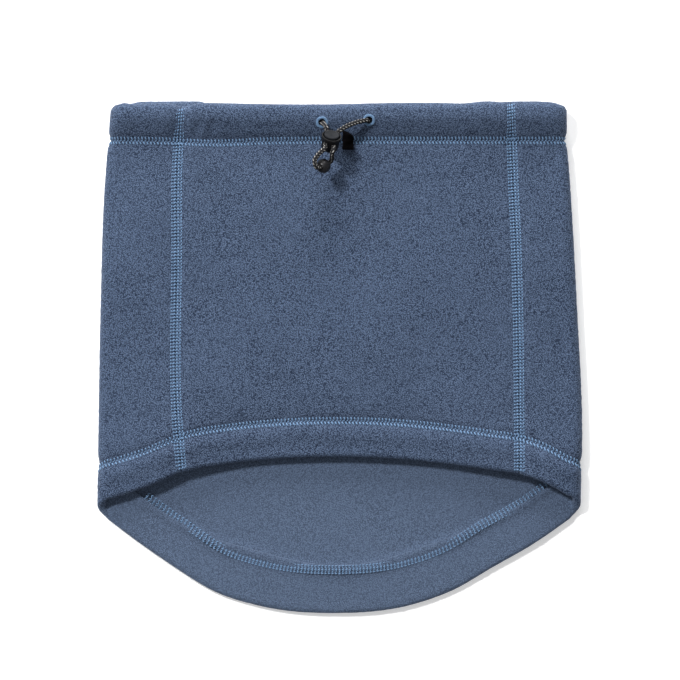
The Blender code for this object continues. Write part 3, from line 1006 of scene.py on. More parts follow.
    def skin(self, path: Array, y: Array, depth: Array) -> Array:
        """Find a point of the tube.

        Args:
            path: signed distance round it from the front's middle.
            y: place along it.
            depth: depth under its outer face.

        Returns:
            The points, in millimetres.
        """
        path, y, depth = np.broadcast_arrays(path, y, depth)
        side = np.where(path < 0, -1.0, 1.0)
        high, flat = self.height(y), self.flat_end(y, side)
        radius = high / 2
        depth = depth - self.swell(path, y)
        past = np.abs(path) - flat
        angle = np.clip(past / radius, 0, math.pi)
        reach = radius - depth
        x = flat + reach * np.sin(angle)
        z = radius + reach * np.cos(angle)
        x = np.where(past <= 0, np.abs(path), x)
        x = np.where(past > math.pi * radius, flat - past + math.pi * radius, x)
        return np.stack([side * x, y, z], axis=-1)

    def outer(
        self, path: Array, y: Array, lift: float, edge: Array | float = NO_EDGE, top: Array | float = NO_TOP
    ) -> tuple[Array, Array]:
        """Stand off the outer face, round its hem and its casing fold too.

        Args:
            path: distance round the tube.
            y: place along it.
            lift: how far off the cloth.
            edge: the lower edge's y.
            top: the top edge's y.

        Returns:
            The points and the normals there.
        """
        path, y, edge = np.broadcast_arrays(np.asarray(path, float), y, edge)

        def at(p: Array, q: Array) -> Array:
            """One point of the raised face."""
            depth = np.zeros_like(q)
            hem, roll = self.cloth + self.seam_gap / 2, self.cloth + self.channel / 2
            for radius, inside in ((hem, q - edge), (roll, top - q)):
                inside = np.clip(inside, 0, radius)
                depth = depth + radius - np.sqrt(np.maximum(radius**2 - (radius - inside) ** 2, 0))
            return self.skin(p, q, depth - lift)

        across = at(path + 0.3, y) - at(path - 0.3, y)
        along = at(path, y + 0.3) - at(path, y - 0.3)
        normal = unit(np.cross(across, along))
        return at(path, y), normal

    def strip(self, edge: Array, top: Array, hem: Array, step: float) -> tuple[Array, Array]:
        """Lay out the middle line of the cloth at every column, from the turned-up hem to the casing's edge.

        Args:
            edge: each column's lower edge.
            top: each column's top edge.
            hem: each column's hem depth.
            step: the distance between rows.

        Returns:
            The y and the depth of each row at each column.
        """
        edge, top, hem = (np.asarray(v, float)[:, None] for v in (edge, top, hem))
        half, bend = self.cloth / 2, (self.cloth + self.seam_gap) / 2
        inner, big = half + 2 * bend, (self.channel + self.cloth) / 2
        middle, far = half + big, half + 2 * big
        lap, under = 9.0, 7.0
        low, high = edge + half + bend, top - lap

        def shares(length: float) -> Array:
            """Even shares of a stretch, at least four."""
            return np.linspace(0, 1, max(4, round(length / step)))[None]

        turned = shares(float(hem.mean()))
        plain = shares(float((high - low).mean()))[:, 1:]
        folded = shares(12)
        fold = np.linspace(0, math.pi, 9)[None, 1:]
        roll = np.linspace(0, math.pi, 15)[None]
        tuck = far + (inner - far) * smooth((folded - 0.3) / 0.7)
        rows = (
            (edge + hem + (bend + half - hem) * turned, inner),
            (low - bend * np.sin(fold), half + bend + bend * np.cos(fold)),
            (low + (high - low) * plain, half),
            (top - middle + big * np.sin(roll), middle - big * np.cos(roll)),
            (top - under - (self.casing_depth - under) * folded, tuck),
        )
        ys, depths = [y for y, _ in rows], [depth + 0 * y for y, depth in rows]
        return np.concatenate(ys, 1), np.concatenate(depths, 1)

    def faces(self, ys: Array, depths: Array) -> tuple[Array, Array]:
        """Thicken each column's middle line into the ring of its two faces."""
        line = np.stack([ys, depths], -1)
        along = unit(np.gradient(line, axis=1))
        out = np.stack([-along[..., 1], along[..., 0]], -1) * self.cloth / 2
        ring = np.concatenate([line + out, (line - out)[:, ::-1]], 1)
        return ring[..., 0], ring[..., 1]


# ---------------------------------------------------------------- fleece


@dataclass
class FleecePanels:
    """The two pieces of fleece that make the tube."""

    form: TubeForm
    finishes: Finishes
    eyelets: tuple[tuple[float, float], ...]
    eyelet_hole: float = 2.2
    eyelet_cut: float = 19.5
    step: float = 1.5
    back_step: float = 1.95

    def nap(self, points: Array) -> Array:
        """Shift points by a little uneven pile, so that no edge is clean."""
        x, y, z = points[..., 0], points[..., 1], points[..., 2]
        lift = (
            np.sin(2.9 * x + 1.7 * np.sin(2.3 * y)) * np.sin(3.1 * y + 1.3 * np.sin(1.9 * x))
            + 0.8 * np.sin(4.3 * x - 3.7 * y + z) * np.sin(1.1 * x + 2.2 * y)
        )
        shift = np.stack([lift, np.sin(3.3 * x + 2.7 * y) * lift, 0.6 * lift], -1)
        return points + 0.1 * shift

    def build_front(self) -> bpy.types.Object:
        """Build the middle of the front, between its seams, with two holes for the cord."""
        form = self.form
        count = round(197 / self.step)
        share = np.linspace(0, 1, count)
        left, right = (form.seam(-65.0, side.value) for side in Side)
        edge = curve(left * (1 - share) + right * share, form.front_edge)
        top = form.top_at(left + (right - left) * share)
        ys, depths = form.faces(*form.strip(edge, top, np.full(count, form.front_hem), self.step))
        left = form.seam(ys, Side.LEFT.value) + form.seam_gap / 2
        right = form.seam(ys, Side.RIGHT.value) - form.seam_gap / 2
        rings = self.nap(form.skin(left + (right - left) * share[:, None], ys, depths))
        panel = MeshData.grid(rings).outward().piece("front_fleece", 70)
        for x, y in self.eyelets:
            Bench.drill(panel, Vector((x, y, self.eyelet_cut)), Vector((0, 0, 1)), self.eyelet_hole, 13)
        return panel

    def build_back(self) -> bpy.types.Object:
        """Build the back, wrapped round both sides to the seams on the front."""
        form = self.form
        counts = {Region.FLANK: 20, Region.FOLD: 14, Region.BACK: 68}
        half = [(region, s) for region, n in counts.items() for s in np.linspace(0, 1, n)[:-1]]
        half.append((Region.BACK, 1.0))
        columns = [(r, 1.0, s) for r, s in half] + [(r, -1.0, s) for r, s in half[:-1][::-1]]
        laid = [self.column(region, side, share) for region, side, share in columns]
        edge, top, hem = (np.array([row[k] for row in laid], float) for k in range(3))
        ys, depths = form.faces(*form.strip(edge, top, hem, self.back_step))
        rings = [form.skin(row[3](y), y, depth) for row, y, depth in zip(laid, ys, depths)]
        return MeshData.grid(self.nap(np.array(rings))).outward().piece("back_fleece", 70)

    def column(
        self, region: Region, side: float, share: float
    ) -> tuple[float, float, float, Callable[[Array], Array]]:
        """Lay out one column of the back.

        Args:
            region: the stretch it is in.
            side: -1 on the left, 1 on the right.
            share: how far through that stretch.

        Returns:
            Its lower edge, its top, its hem's depth, and its path round the tube at a y.
        """
        form = self.form
        if region is Region.FLANK:
            seam, end = form.seam(-68.0, side), form.flat_end(form.hem_y, side)
            edge = curve(side * (abs(seam) * (1 - share) + end * share), form.front_edge)

            def path(y: Array) -> Array:
                """From the seam to the side's fold."""
                start = np.abs(form.seam(y, side)) + form.seam_gap / 2
                return side * (start + (form.flat_end(y, side) - start) * share)

            middle = side * (abs(seam) + (end - abs(seam)) * share)
            top = float(form.top_at(middle)) - form.corner * share**4
            return float(edge), top, form.front_hem, path
        if region is Region.FOLD:
            front, back = (curve(side * form.hem_half, edges) for edges in (form.front_edge, form.back_edge))

            def path(y: Array) -> Array:
                """Round the side's fold."""
                return side * (form.flat_end(y, side) + math.pi * form.height(y) / 2 * share)

            top = form.top_y - form.corner - 1.2 * math.sin(math.pi * share)
            hem = form.front_hem + (form.back_hem + 3 - form.front_hem) * share
            return float(front + (back - front) * share), top, hem, path

        def path(y: Array) -> Array:
            """Across the back on the table."""
            flat = form.flat_end(y, side)
            return side * (flat + math.pi * form.height(y) / 2 + flat * share)

        hem = form.back_hem + 4 * math.sin(math.pi * min(1.0, 1.25 * (1 - share))) ** 2
        x = side * form.hem_half * (1 - share)
        shown = smooth((x + 131) / 7) * (1 - smooth((x + 88) / 12))
        top = form.top_y - form.corner * (1 - share) ** 4 - 2.4 * (1 - shown) * smooth(share * 6)
        return float(curve(x, form.back_edge)), top + 1.1 * float(shown), hem, path

    def build(self) -> None:
        front, back = self.build_front(), self.build_back()
        for piece, node in ((front, "front_panel"), (back, "back_panel")):
            dress(piece, self.finishes.fleece, node, Body.GAITER)


# ---------------------------------------------------------------- stitching


@dataclass
class Stitching:
    """All the sewing: flatlock seams, cover-stitched casing and hems, and the worked eyelets."""

    form: TubeForm
    finishes: Finishes
    eyelets: tuple[tuple[float, float], ...]
    pitch: float = 1.9
    row_pitch: float = 2.02
    eyelet_stitches: int = 34

    def grain(self) -> MeshData:
        """Model one stitch: a length of thread that arches up and dives in at both ends."""
        Bench.select()
        bpy.ops.mesh.primitive_uv_sphere_add(
            segments=8, ring_count=6, radius=0.5, rotation=(0, math.pi / 2, 0), calc_uvs=True
        )
        made = Bench.named("one_stitch")
        bpy.ops.object.transform_apply(location=False, rotation=True, scale=False)
        Bench.squeeze(1, 1, 0.9)
        grain = MeshData.taken(made, 1.0)
        x = grain.points[:, 0]
        x[:] = np.sign(x) * np.abs(2 * x) ** 0.85 / 2
        grain.points[:, 2] -= 0.9 * (x**2) - 0.1
        return grain

    @staticmethod
    def sew(
        grain: MeshData, start: Holes, end: Holes, width: float, high: float, over: float
    ) -> MeshData:
        """Sew stitches that run from one needle hole to another.

        Args:
            grain: one stitch.
            start: the holes where they begin.
            end: the holes where they end.
            width: their width.
            high: their height.
            over: how much longer each is than the way between its holes.

        Returns:
            The stitches.
        """
        run = end[0] - start[0]
        spots = Spots.along((start[0] + end[0]) / 2, run, start[1], (1, width, high))
        spots.size[:, 0] = np.linalg.norm(run, axis=1) * over
        return grain.copies(spots)

    def build_seam(self, side: Side, grain: MeshData) -> bpy.types.Object:
        """Sew one flatlock seam: three needle lines, with looper threads filling the two lanes between."""
        form, s = self.form, float(side.value)
        edge = float(curve(form.seam(-68.0, s), form.front_edge))
        last = form.top_at(form.seam(146.0, s)) - self.pitch - 0.6
        ys = np.arange(edge + 1.4, last, self.pitch)
        follow_near = np.clip(1 - (ys - edge) / 6, 0, 1)
        sunk = 0.42 if side is Side.LEFT else 0.25

        def at(offset: float, shift: float, lift: float) -> Holes:
            """Points at a distance from the seam's middle and a shift along it."""
            y = ys + shift
            buried = smooth((y - 128.5) / 5)
            x = form.seam(y, s) + offset * (1 - 0.25 * buried)
            y = y + (curve(x, form.front_edge) - edge) * follow_near
            top = form.top_at(x)
            return form.outer(x, np.minimum(y, top - 0.5), lift - sunk * buried, edge, top)

        parts = []
        lanes = (
            (-2.75, 0.7, 0.5, 0.22, 0.2),
            (-0.95, 0.95, 0.62, 0.4, 0.3),
            (0.95, 1.0, 0.66, 0.44, -0.3),
            (2.75, 0.7, 0.5, 0.22, -0.2),
        )
        for k, (offset, width, high, lift, slant) in enumerate(lanes):
            start = at(offset - slant, 0.2 + 0.25 * k, lift)
            end = at(offset + slant, self.pitch - 0.3 + 0.25 * k, lift)
            parts.append(self.sew(grain, start, end, width, high, 1.0))
        for (near, *_), (far, *_), slant in zip(lanes, lanes[1:], (0.7, -0.7, 0.7)):
            start = at(near, 0.5 * self.pitch - slant / 2, -0.04)
            end = at(far, 0.5 * self.pitch + slant / 2, -0.04)
            parts.append(self.sew(grain, start, end, 0.48, 0.38, 1.1))
        return MeshData.joined(parts).piece(f"{side.label}_seam_stitches")

    def build_row(
        self, name: str, paths: Array, centre: Callable[[Array], Array], grain: MeshData
    ) -> bpy.types.Object:
        """Sew a cover-stitched row across the front.

        Args:
            name: the piece's name.
            paths: where each stitch starts, round the tube.
            centre: the row's middle y at a path.
            grain: one stitch.

        Returns:
            The row: a bold lower line, a fainter upper one and the loopers between.
        """
        form = self.form

        def at(shift: float, across: float, lift: float) -> Holes:
            """Points of the row, which climb over the two seams."""
            p = paths + shift
            y = centre(p) + across
            near = np.minimum(*(np.abs(p - form.seam(y, side.value)) for side in Side))
            climb = 0.75 * (1 - smooth((near - form.seam_band / 2 - 0.2) / 1.4))
            points, up = form.outer(p, y, lift)
            return points + up * climb[:, None], up

        step = float(np.diff(paths).mean())
        parts = []
        for low, high, width, rise, lift, slant, ahead in (
            (-2.35, -0.55, 0.9, 0.65, 0.34, -0.5, 0.5),
            (0.45, 2.05, 0.85, 0.6, 0.32, -0.35, 1.0),
            (-0.6, 0.6, 0.5, 0.4, 0.0, 0.7, 0.9),
        ):
            start = at(ahead * step - slant, low, lift)
            end = at(ahead * step + slant, high, lift)
            parts.append(self.sew(grain, start, end, width, rise, 1.05))
        return MeshData.joined(parts).piece(name)

    def build_back_row(self, grain: MeshData) -> bpy.types.Object:
        """Sew the row on the inside of the back's hem, which the open hem shows."""
        form = self.form
        xs = np.arange(-112.0, 122.0, 2.0)
        slope = (curve(xs + 1, form.back_edge) - curve(xs - 1, form.back_edge)) / 2
        ys = curve(xs, form.back_edge) + form.back_row * np.hypot(1, slope * 0.8)
        side, none, one = np.sign(xs), 0 * xs, 1 + 0 * xs
        path = side * (2 * form.flat_end(ys, side) + math.pi * form.height(ys) / 2 - np.abs(xs))
        middle = np.stack([xs, ys, 2 * form.cloth + form.seam_gap - form.swell(path, ys)], 1)
        run, over = unit(np.stack([one, slope, none], 1)), unit(np.stack([-slope, one, none], 1))
        up = np.stack([none, none, one], 1)
        parts = []
        for across, lift, size, turn in (
            (-2.2, 0.22, (1.5, 0.7, 0.5), 14),
            (0.0, 0.22, (1.5, 0.75, 0.5), 14),
            (2.2, 0.22, (1.5, 0.7, 0.5), 14),
            (-1.1, 0.12, (2.3, 0.55, 0.4), 58),
            (1.1, 0.12, (2.3, 0.55, 0.4), -58),
        ):
            at = middle + over * across + up * lift
            parts.append(grain.copies(Spots.along(at, run, up, size, turn)))
        return MeshData.joined(parts).piece("back_hem_stitches")

    def build_eyelet(self, side: Side, x: float, y: float, grain: MeshData) -> bpy.types.Object:
        """Work one eyelet: a torus of cord bed with close radial stitches over it."""
        Bench.select()
        point, normal = self.form.outer(np.array([x]), np.array([y]), 0.15)
        tilt = np.array(Vector((0, 0, 1)).rotation_difference(Vector(normal[0])).to_matrix())
        bpy.ops.mesh.primitive_torus_add(
            major_segments=40,
            minor_segments=10,
            major_radius=2.75 * MM,
            minor_radius=0.62 * MM,
            generate_uvs=True,
        )
        Bench.squeeze(1, 1, 0.7)
        bed = MeshData.taken(Bench.named("eyelet_bed"), MM)
        bed.points = bed.points @ tilt.T + point
        count = self.eyelet_stitches
        angle = np.arange(count) * math.tau / count
        out = np.stack([np.cos(angle), np.sin(angle), 0 * angle], 1) @ tilt.T
        lean = np.stack([-np.sin(angle), np.cos(angle), 0 * angle], 1) @ tilt.T
        up = np.tile(normal, (count, 1))
        wobble = 0.12 * np.sin(angle * 5 + x)[:, None]
        at = point + 0.25 * up + out * (2.85 + wobble)
        rays = grain.copies(Spots.along(at, out + 0.15 * lean, up, (1.75, 0.62, 0.75)))
        at = point + 0.2 * up + out * 2.25
        rim = grain.copies(Spots.along(at, lean, up, (0.7, 0.42, 0.6)))
        return MeshData.joined([bed, rays, rim]).piece(f"{side.label}_eyelet_thread")

    def build(self) -> None:
        """Sew every row and let it ride on the cloth."""
        form, grain = self.form, self.grain()
        made = [(self.build_seam(side, grain), f"{side.label}_seam_stitch_thread") for side in Side]
        for name, low, high, centre in (
            ("casing", -280.0, 279.0, form.casing_at),
            ("front_hem", -286.0, 285.0, lambda path: form.hem_at(path)[1]),
        ):
            row = self.build_row(f"{name}_stitches", np.arange(low, high, self.row_pitch), centre, grain)
            made.append((row, f"{name}_stitch_thread"))
        made.append((self.build_back_row(grain), "back_hem_stitch_thread"))
        for side, (x, y) in zip(Side, self.eyelets):
            made.append((self.build_eyelet(side, x, y, grain), f"{side.label}_eyelet_stitching"))
        for piece, node in made:
            dress(piece, self.finishes.thread, node, Body.GAITER)


# ---------------------------------------------------------------- cord lock


@dataclass(frozen=True)
class LockFrame:
    """The lock's place and lean: its axes run across it, out of its front and up its length."""

    rim: Vector = Vector((-4.45, 127.8, 28.4))
    lean: float = math.radians(42)
    turn: float = math.radians(-11)
    oval: float = 0.8
    hole_down: float = 4.2
    hole_apart: float = 2.5
    strand_out: float = 5.4

    @property
    def axes(self) -> Matrix:
        """The turn from the lock's axes to the frame."""
        turn = Matrix.Rotation(self.turn, 3, "Z")
        across = turn @ Vector((1, 0, 0))
        front = turn @ Vector((0, -math.cos(self.lean), math.sin(self.lean)))
        up = turn @ Vector((0, math.sin(self.lean), math.cos(self.lean)))
        return Matrix((across, front, up)).transposed()

    def at(self, across: float, front: float, up: float) -> Vector:
        """A point given in the lock's axes."""
        return self.rim + self.axes @ Vector((across, front, up))

    def bore(self, side: Side, front: float) -> Vector:
        """A point on the middle of a strand's hole, or in front of it."""
        return self.at(side.value * self.hole_apart, front, -self.hole_down)

    @property
    def matrix(self) -> Matrix:
        """The lock's axes as a transform in metres."""
        return Matrix.Translation(self.rim * MM) @ self.axes.to_4x4()


@dataclass
class CordLock:
    """The barrel, the sprung button in it and the coil under the button."""

    place: LockFrame
    finishes: Finishes
    length: float = 11.0
    rim_radius: float = 5.75
    wall_radius: float = 5.65
    stem_radius: float = 3.9
    bore: float = 4.1
    counterbore: float = 5.05
    hole: float = 1.6
    floor: float = 0.9

    def settle(self, made: bpy.types.Object) -> None:
        """Squeeze a turned shape to the lock's oval and move its mesh to the lock's place."""
        made.data.transform(Matrix.Diagonal((1, self.place.oval, 1, 1)))
        made.data.transform(self.place.matrix)

    def turned(self, name: str, radius: float, low: float, high: float) -> bpy.types.Object:
        """Start a round piece on the lock's own axis and go into edit mode.

        Args:
            name: the piece's name.
            radius: its radius.
            low: its lower end.
            high: its upper end.

        Returns:
            The object.
        """
        Bench.select()
        bpy.ops.mesh.primitive_cylinder_add(
            vertices=64, radius=radius * MM, depth=(high - low) * MM, location=(0, 0, (low + high) / 2 * MM)
        )
        made = Bench.named(name)
        bpy.ops.object.transform_apply(location=True, rotation=False, scale=False)
        bpy.ops.object.mode_set(mode="EDIT")
        return made

    def draw(self, end: int, radius: float, steps: Stops) -> None:
        """Draw one end of a turned piece out through several steps.

        Args:
            end: -1 for the lower end, 1 for the upper one.
            radius: its radius.
            steps: rows of a rise and the radius after it.
        """
        Bench.pick(lambda middle, normal: end * normal.z > 0.9)
        for rise, after in steps:
            bpy.ops.mesh.extrude_region_move(TRANSFORM_OT_translate={"value": (0, 0, rise * MM)})
            share = after / radius
            bpy.ops.transform.resize(value=(share, share, 1))
            radius = after

    def build_barrel(self) -> bpy.types.Object:
        """Build the barrel: a tapered cup with a lipped rim and a hole for each strand."""
        wall, rim, counterbore, bore = self.wall_radius, self.rim_radius, self.counterbore, self.bore
        made = self.turned("lock_barrel", wall, -1.5, -1.0)
        self.draw(-1, wall, ((-1.9, 5.3), (-3.0, 5.08), (-3.0, 4.85), (-1.1, 4.4), (-0.5, 3.5)))
        self.draw(1, wall, (
            (0.0, rim), (0.75, rim), (0.25, 5.6), (0.0, 5.2), (-0.2, counterbore),
            (-2.25, counterbore), (0.0, bore), (-7.15, bore), (-0.5, 3.6),
        ))
        bpy.ops.object.mode_set(mode="OBJECT")
        self.settle(made)
        front = self.place.axes @ Vector((0, 1, 0))
        for side in Side:
            Bench.drill(made, self.place.bore(side, 0), front, self.hole, 16)
        Bench.soften(made, 0.16)
        return made

    def build_button(self) -> bpy.types.Object:
        """Build the button: a domed cap on a stem with a slot for each strand."""
        place = self.place
        low = -place.hole_down - self.hole - 1.0
        made = self.turned("lock_plunger", self.stem_radius, low + 0.4, -0.6)
        self.draw(-1, self.stem_radius, ((-0.4, 3.4),))
        self.draw(1, self.stem_radius, (
            (0.0, 4.45), (1.1, 4.45), (0.28, 4.35), (0.2, 4.12), (0.14, 3.7), (-0.1, 3.3),
            (-0.06, 2.6), (-0.02, 1.6), (0.0, 0.7),
        ))
        bpy.ops.object.mode_set(mode="OBJECT")
        self.settle(made)
        near, far = place.hole_apart - self.hole, place.hole_apart + self.hole + 1
        size = Matrix.Diagonal((far - near, 12, 2 * self.hole + 1.8)).to_4x4()
        for side in Side:
            Bench.select()
            bpy.ops.mesh.primitive_cube_add(size=1)
            cutter = Bench.named("slot")
            middle = place.at(side.value * (near + far) / 2, 0, 0.9 - place.hole_down)
            cutter.data.transform(Matrix.Translation(middle * MM) @ place.axes.to_4x4() @ (size * MM))
            Bench.cut(made, cutter)
        Bench.soften(made, 0.12)
        return made

    def build(self) -> None:
        """Build the lock's pieces and let each ride on its body."""
        barrel, button = self.build_barrel(), self.build_button()
        dress(barrel, self.finishes.barrel, "lock_body", Body.LOCK)
        dress(button, self.finishes.button, "lock_button", Body.BUTTON)
        low = -self.length + self.floor + 0.2
        high = -self.place.hole_down - self.hole - 1.2
        turns, radius, count = 2.5, 2.2, 120
        route = []
        for share in np.linspace(0, 1, count):
            angle = share * turns * math.tau
            around = radius * math.cos(angle), radius * math.sin(angle)
            route.append(self.place.at(*around, low + (high - low) * share))
        spring = Cords.tube(np.array([tuple(p) for p in route]), 0.2, 12).piece("lock_coil")
        dress(spring, self.finishes.steel, "lock_spring", Body.LOCK)
        axis, anchor = self.place.axes @ Vector((0, 0, 1)), self.place.at(0, 0, low) * MM
        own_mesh(spring)


# ---------------------------------------------------------------- cords


@dataclass
class Cords:
    """The drawcord: its hidden run, the two strands over the casing and the free loop."""

    place: LockFrame
    form: TubeForm
    finishes: Finishes
    eyelets: tuple[tuple[float, float], ...]
    ball_at: Vector
    ball_axis: Vector
    radius: float = 1.35
    spacing: float = 0.22
    around: int = 32
    braid: float = 0.13

    @staticmethod
    def tube(line: Array, radius: float, around: int, braid: float = 0.0) -> MeshData:
        """Sweep a round cord along a line.

        Args:
            line: points along its middle.
            radius: its radius.
            around: how many points go round it.
            braid: how deep its braid is.

        Returns:
            The closed tube, mapped in millimetres along and from 0 to 1 round.
        """
        ahead = unit(np.gradient(line, axis=0))
        side = [unit(np.cross(ahead[0], [0.31, 0.2, 0.93]))]
        for step in ahead[1:]:
            side.append(unit(side[-1] - step * float(side[-1] @ step)))
        across = np.array(side)
        other = np.cross(ahead, across)
        run = run_of(line)
        turn = np.arange(around + 1) / around
        phase = run[:, None] / BraidedCord.pitch * 2 * math.tau
        slant = turn[None] * BraidedCord.rows * math.tau
        wave = np.maximum(np.sin(phase + slant), np.sin(phase - slant))
        size = radius - braid * (1 - smooth((wave + 0.3) / 1.3))
        angle = turn * math.tau
        ring = across[:, None] * np.cos(angle)[None, :, None] + other[:, None] * np.sin(angle)[None, :, None]
        points = line[:, None] + ring * size[..., None]
        uv = np.stack(np.broadcast_arrays(run[:, None], turn[None]), -1)
        return MeshData.grid(points[:, :-1], uv).outward()

    def strand_route(self, side: Side) -> Array:
        """The way of one strand: out of its eyelet, over the casing and through the lock."""
        x, y = self.eyelets[0 if side is Side.LEFT else 1]
        top = float(self.form.height(y))
        start = {
            Side.LEFT: [(x + 0.4, y - 0.55, top - 1.2), (x + 0.45, y - 0.6, top + 0.4)],
            Side.RIGHT: [(x - 0.7, y - 0.25, top - 1.2), (x - 0.75, y - 0.3, top + 0.4)],
        }[side]
        over = {
            Side.LEFT: [(-9.2, 135.3, 19.4), (-8.4, 134.4, 21.0), (-7.6, 132.9, 22.5), (-7.1, 131.0, 22.7)],
            Side.RIGHT: [
                (15.5, 137.3, 19.3), (13.8, 137.0, 20.4), (9.4, 135.8, 21.6), (4.2, 133.7, 22.7),
                (0.8, 131.5, 23.0), (-1.1, 130.1, 22.5),
            ],
        }[side]
        through = [self.place.bore(side, out) for out in (-5.2, -3.4, 0, 3.4, self.place.strand_out)]
        return rounded([*start, *over, *through], self.spacing)

    def loop_route(self) -> Array:
        """The way of the loop: out of the lock, down through the ball and back."""
        out = self.place.strand_out
        near, far = ([self.place.bore(side, front) for side in Side] for front in (out + 0.3, out + 2.0))
        down = [
            (-10.4, 118.6, 31.0), (-12.6, 116.2, 31.4), (-14.1, 113.6, 31.7), (-13.9, 111.0, 31.6),
            (-12.7, 109.3, 30.6),
        ]
        back = [
            (-6.3, 112.5, 20.9), (-5.1, 113.4, 20.8), (-4.5, 114.6, 22.6), (-4.3, 115.8, 25.6),
            (-4.2, 117.4, 28.8),
        ]
        through = [self.ball_at + self.ball_axis * out for out in (3.4, 1.2, -1.2, -3.4)]
        return rounded([near[0], far[0], *down, *through, *back, far[1], near[1]], self.spacing)

    def hidden_route(self) -> Array:
        """The run inside the casing, from one eyelet round the neck to the other."""
        form = self.form
        middle, y = form.cloth + form.channel / 2, 137.4
        points: list[tuple[float, ...]] = []
        for side, (x, eye_y) in zip(Side, self.eyelets):
            s = float(side.value)
            top = float(form.height(y))
            flat = float(form.flat_end(y, s))
            arc = math.pi * top / 2
            rise = [
                (x, eye_y, top - 1.0),
                (x + s * 0.15, eye_y, top - 2.0),
                (x + s * 1.1, eye_y + 0.1, top - 3.4),
                (x + s * 3.2, eye_y + 0.2, top - middle),
            ]
            front = np.linspace(abs(x) + 12, flat, 11)
            fold = flat + arc * np.linspace(0, 1, 10)[1:-1]
            path = s * np.concatenate([front, fold, flat + arc + flat * np.linspace(0, 1, 15)])
            level = np.full_like(path, y)
            half = rise + [tuple(p) for p in form.skin(path, level, middle + form.swell(path, level))]
            points += half if side is Side.LEFT else half[:-1][::-1]
        return rounded(points, 1.0)

    def build(self) -> None:
        """Build the cords; only the hidden run is tied to a body, the gaiter."""
        place, cord = self.place, self.finishes.cord
        hidden = self.tube(self.hidden_route(), self.radius - 0.05, 16).piece("casing_cord")
        dress(hidden, cord, "draw_cord", Body.GAITER)
        for side in Side:
            name = side.label
            line = self.strand_route(side)
            strand = self.tube(line, self.radius, self.around, self.braid).piece(f"{name}_strand")
            dress(strand, cord, f"cord_strand_{name}")
            start, end = Vector(line[8]) * MM, place.bore(side, -5.0) * MM
            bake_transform(strand)
        line = self.loop_route()
        loop = self.tube(line, self.radius, self.around, self.braid).piece("free_loop")
        dress(loop, cord, "cord_loop")
        start = place.at(0, place.strand_out + 0.2, -place.hole_down)
        end = start + Vector((0, -4.5, -2.15))
        tuple(start * MM)
        tuple(end * MM)
        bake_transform(loop)


@dataclass
class CordBall:
    """The ball threaded on the loop: two moulded halves with a waist line and a chamfered bore."""

    at: Vector
    axis: Vector
    finishes: Finishes
    radius: float = 4.15
    bore: float = 1.65
    waist: float = 0.42

    def build(self) -> None:
        """Build the ball and let it ride."""
        Bench.select()
        bpy.ops.mesh.primitive_uv_sphere_add(segments=64, ring_count=32, radius=self.radius * MM)
        made = Bench.named("loop_ball")
        bpy.ops.object.mode_set(mode="EDIT")
        Bench.pick(lambda middle, normal: abs(middle.z) < self.waist)
        bpy.ops.mesh.inset(thickness=0.12 * MM, depth=0.0)
        bpy.ops.transform.resize(value=(0.985, 0.985, 1))
        bpy.ops.object.mode_set(mode="OBJECT")
        turn = self.axis.to_track_quat("Z", "Y").to_matrix().to_4x4()
        made.data.transform(Matrix.Translation(self.at * MM) @ turn)
        Bench.drill(made, self.at, self.axis, self.bore, 14)
        Bench.soften(made, 0.2, 40)
        dress(made, self.finishes.ball, "cord_ball", Body.BALL)


@dataclass
class KeeperTape:
    """The short folded tape under the lock."""

    form: TubeForm
    finishes: Finishes
    left: float = 1.75
    right: float = 8.2
    near: float = 121.2
    far: float = 131.8
    thick: float = 0.8
    apart: float = 1.1
    clip: float = 3.2

    def build(self) -> None:
        """Build the tape: two leaves that meet in a fold, its cut ends a little apart."""
        gap, share = self.apart / 2, np.linspace(0, 1, 16)
        turn, inner = np.linspace(-math.pi / 2, math.pi / 2, 13), self.near + gap
        low, high = self.thick / 2 + 0.1, self.thick / 2 + 0.1 + self.apart
        leaves = (
            (self.far - (self.far - inner) * share[:-1], low + 0.25 * np.sin(math.pi * share[:-1])),
            (inner - gap * np.cos(turn), (low + high) / 2 + gap * np.sin(turn)),
            (inner + (self.far - 0.7 - inner) * share[1:], high - 0.3 * np.sin(math.pi * share[1:] * 0.8)),
        )
        line = np.concatenate([np.stack(leaf, 1) for leaf in leaves])
        line[:, 1] += self.form.height(line[:, 0])
        along = unit(np.gradient(line, axis=0))
        out = np.stack([-along[:, 1], along[:, 0]], 1) * self.thick / 2
        run = run_of(line)
        across = np.linspace(0, 1, 15)
        clip = self.clip * across**1.5
        sway = 0.12 * np.sin(run * 0.7)
        faces = []
        for side in (1, -1):
            yz = line + side * out
            x = self.left + (self.right - self.left) * across[None] + sway[:, None]
            near_end = smooth((run - run[-1] + 6) / 6) + smooth((6 - run) / 6)
            y = yz[:, :1] - clip[None] * near_end[:, None]
            faces.append(np.stack(np.broadcast_arrays(x, y, yz[:, 1:]), -1))
        rings = np.concatenate([faces[0], faces[1][:, ::-1]], 1)
        round_map = np.concatenate([across, across[::-1], across[:1]])
        uv = np.stack(np.broadcast_arrays(run[:, None], round_map[None]), -1)
        made = MeshData.grid(rings, uv).outward().piece("lock_tape", 50)
        dress(made, self.finishes.tape, "keeper_tape", Body.GAITER)


# ---------------------------------------------------------------- the set


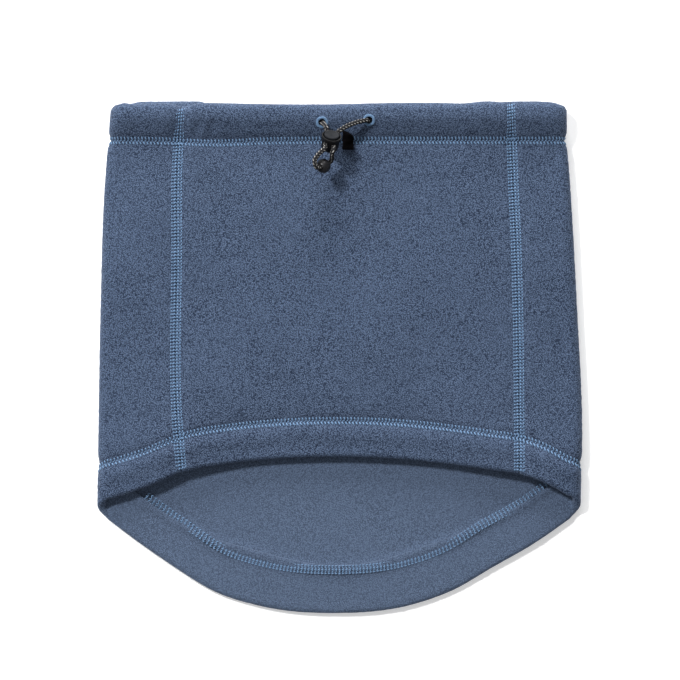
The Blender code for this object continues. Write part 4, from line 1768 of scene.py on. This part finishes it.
@dataclass
class Studio:
    """The table, the lights and the camera over the middle of the gaiter."""

    camera_at: Vector = Vector((0.0003, 0.0106, 1.61))
    lens: float = 146.0
    key: float = 67.0
    top: float = 5.0
    rim: float = 56.0
    fill: float = 0.28

    def lamp(self, name: str, at: Vector, size: float, power: float) -> None:
        """Hang one square soft box that faces the gaiter."""
        data = bpy.data.lights.new(name, "AREA")
        data.size, data.energy = size, power
        made = bpy.data.objects.new(name, data)
        made.location = at
        made.rotation_euler = (-at).to_track_quat("-Z", "Y").to_euler()
        bpy.context.scene.collection.objects.link(made)

    def build(self) -> None:
        """Set the table, the lights and the camera."""
        scene = bpy.context.scene
        Bench.select()
        bpy.ops.mesh.primitive_plane_add(size=6.0, location=(0, 0, 0))
        table = Bench.named("table")
        table.data.materials.append(Table().make())
        self.lamp("key", Vector((-1.2, 1.2, 1.9)), 0.34, self.key)
        self.lamp("top", Vector((0.3, -0.4, 2.4)), 1.6, self.top)
        self.lamp("rim", Vector((0.0, 2.2, 0.75)), 0.8, self.rim)
        world = bpy.data.worlds.new("studio")
        world.use_nodes = True
        glow = world.node_tree.nodes["Background"]
        glow.inputs["Color"].default_value = (1, 1, 1, 1)
        glow.inputs["Strength"].default_value = self.fill
        scene.world = world
        scene.view_settings.view_transform = "Standard"
        lens = bpy.data.cameras.new("camera")
        lens.lens, lens.sensor_width = self.lens, 36.0
        lens.clip_start, lens.clip_end = 0.05, 20.0
        camera = bpy.data.objects.new("camera", lens)
        camera.location = self.camera_at
        scene.collection.objects.link(camera)
        scene.camera = camera


def main() -> None:
    """Build the gaiter piece by piece."""
    logging.basicConfig(level=logging.INFO, format="%(message)s")
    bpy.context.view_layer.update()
    form, finishes, place = TubeForm(), Finishes(), LockFrame()
    eyelets = ((-10.1, 136.5), (17.0, 137.7))
    ball_at, ball_axis = Vector((-9.2, 110.6, 25.5)), Vector((-0.5, -0.28, 0.82)).normalized()
    Studio().build()
    FleecePanels(form, finishes, eyelets).build()
    Stitching(form, finishes, eyelets).build()
    CordLock(place, finishes).build()
    Cords(place, form, finishes, eyelets, ball_at, ball_axis).build()
    CordBall(ball_at, ball_axis, finishes).build()
    KeeperTape(form, finishes).build()


if __name__ == "__main__":
    main()
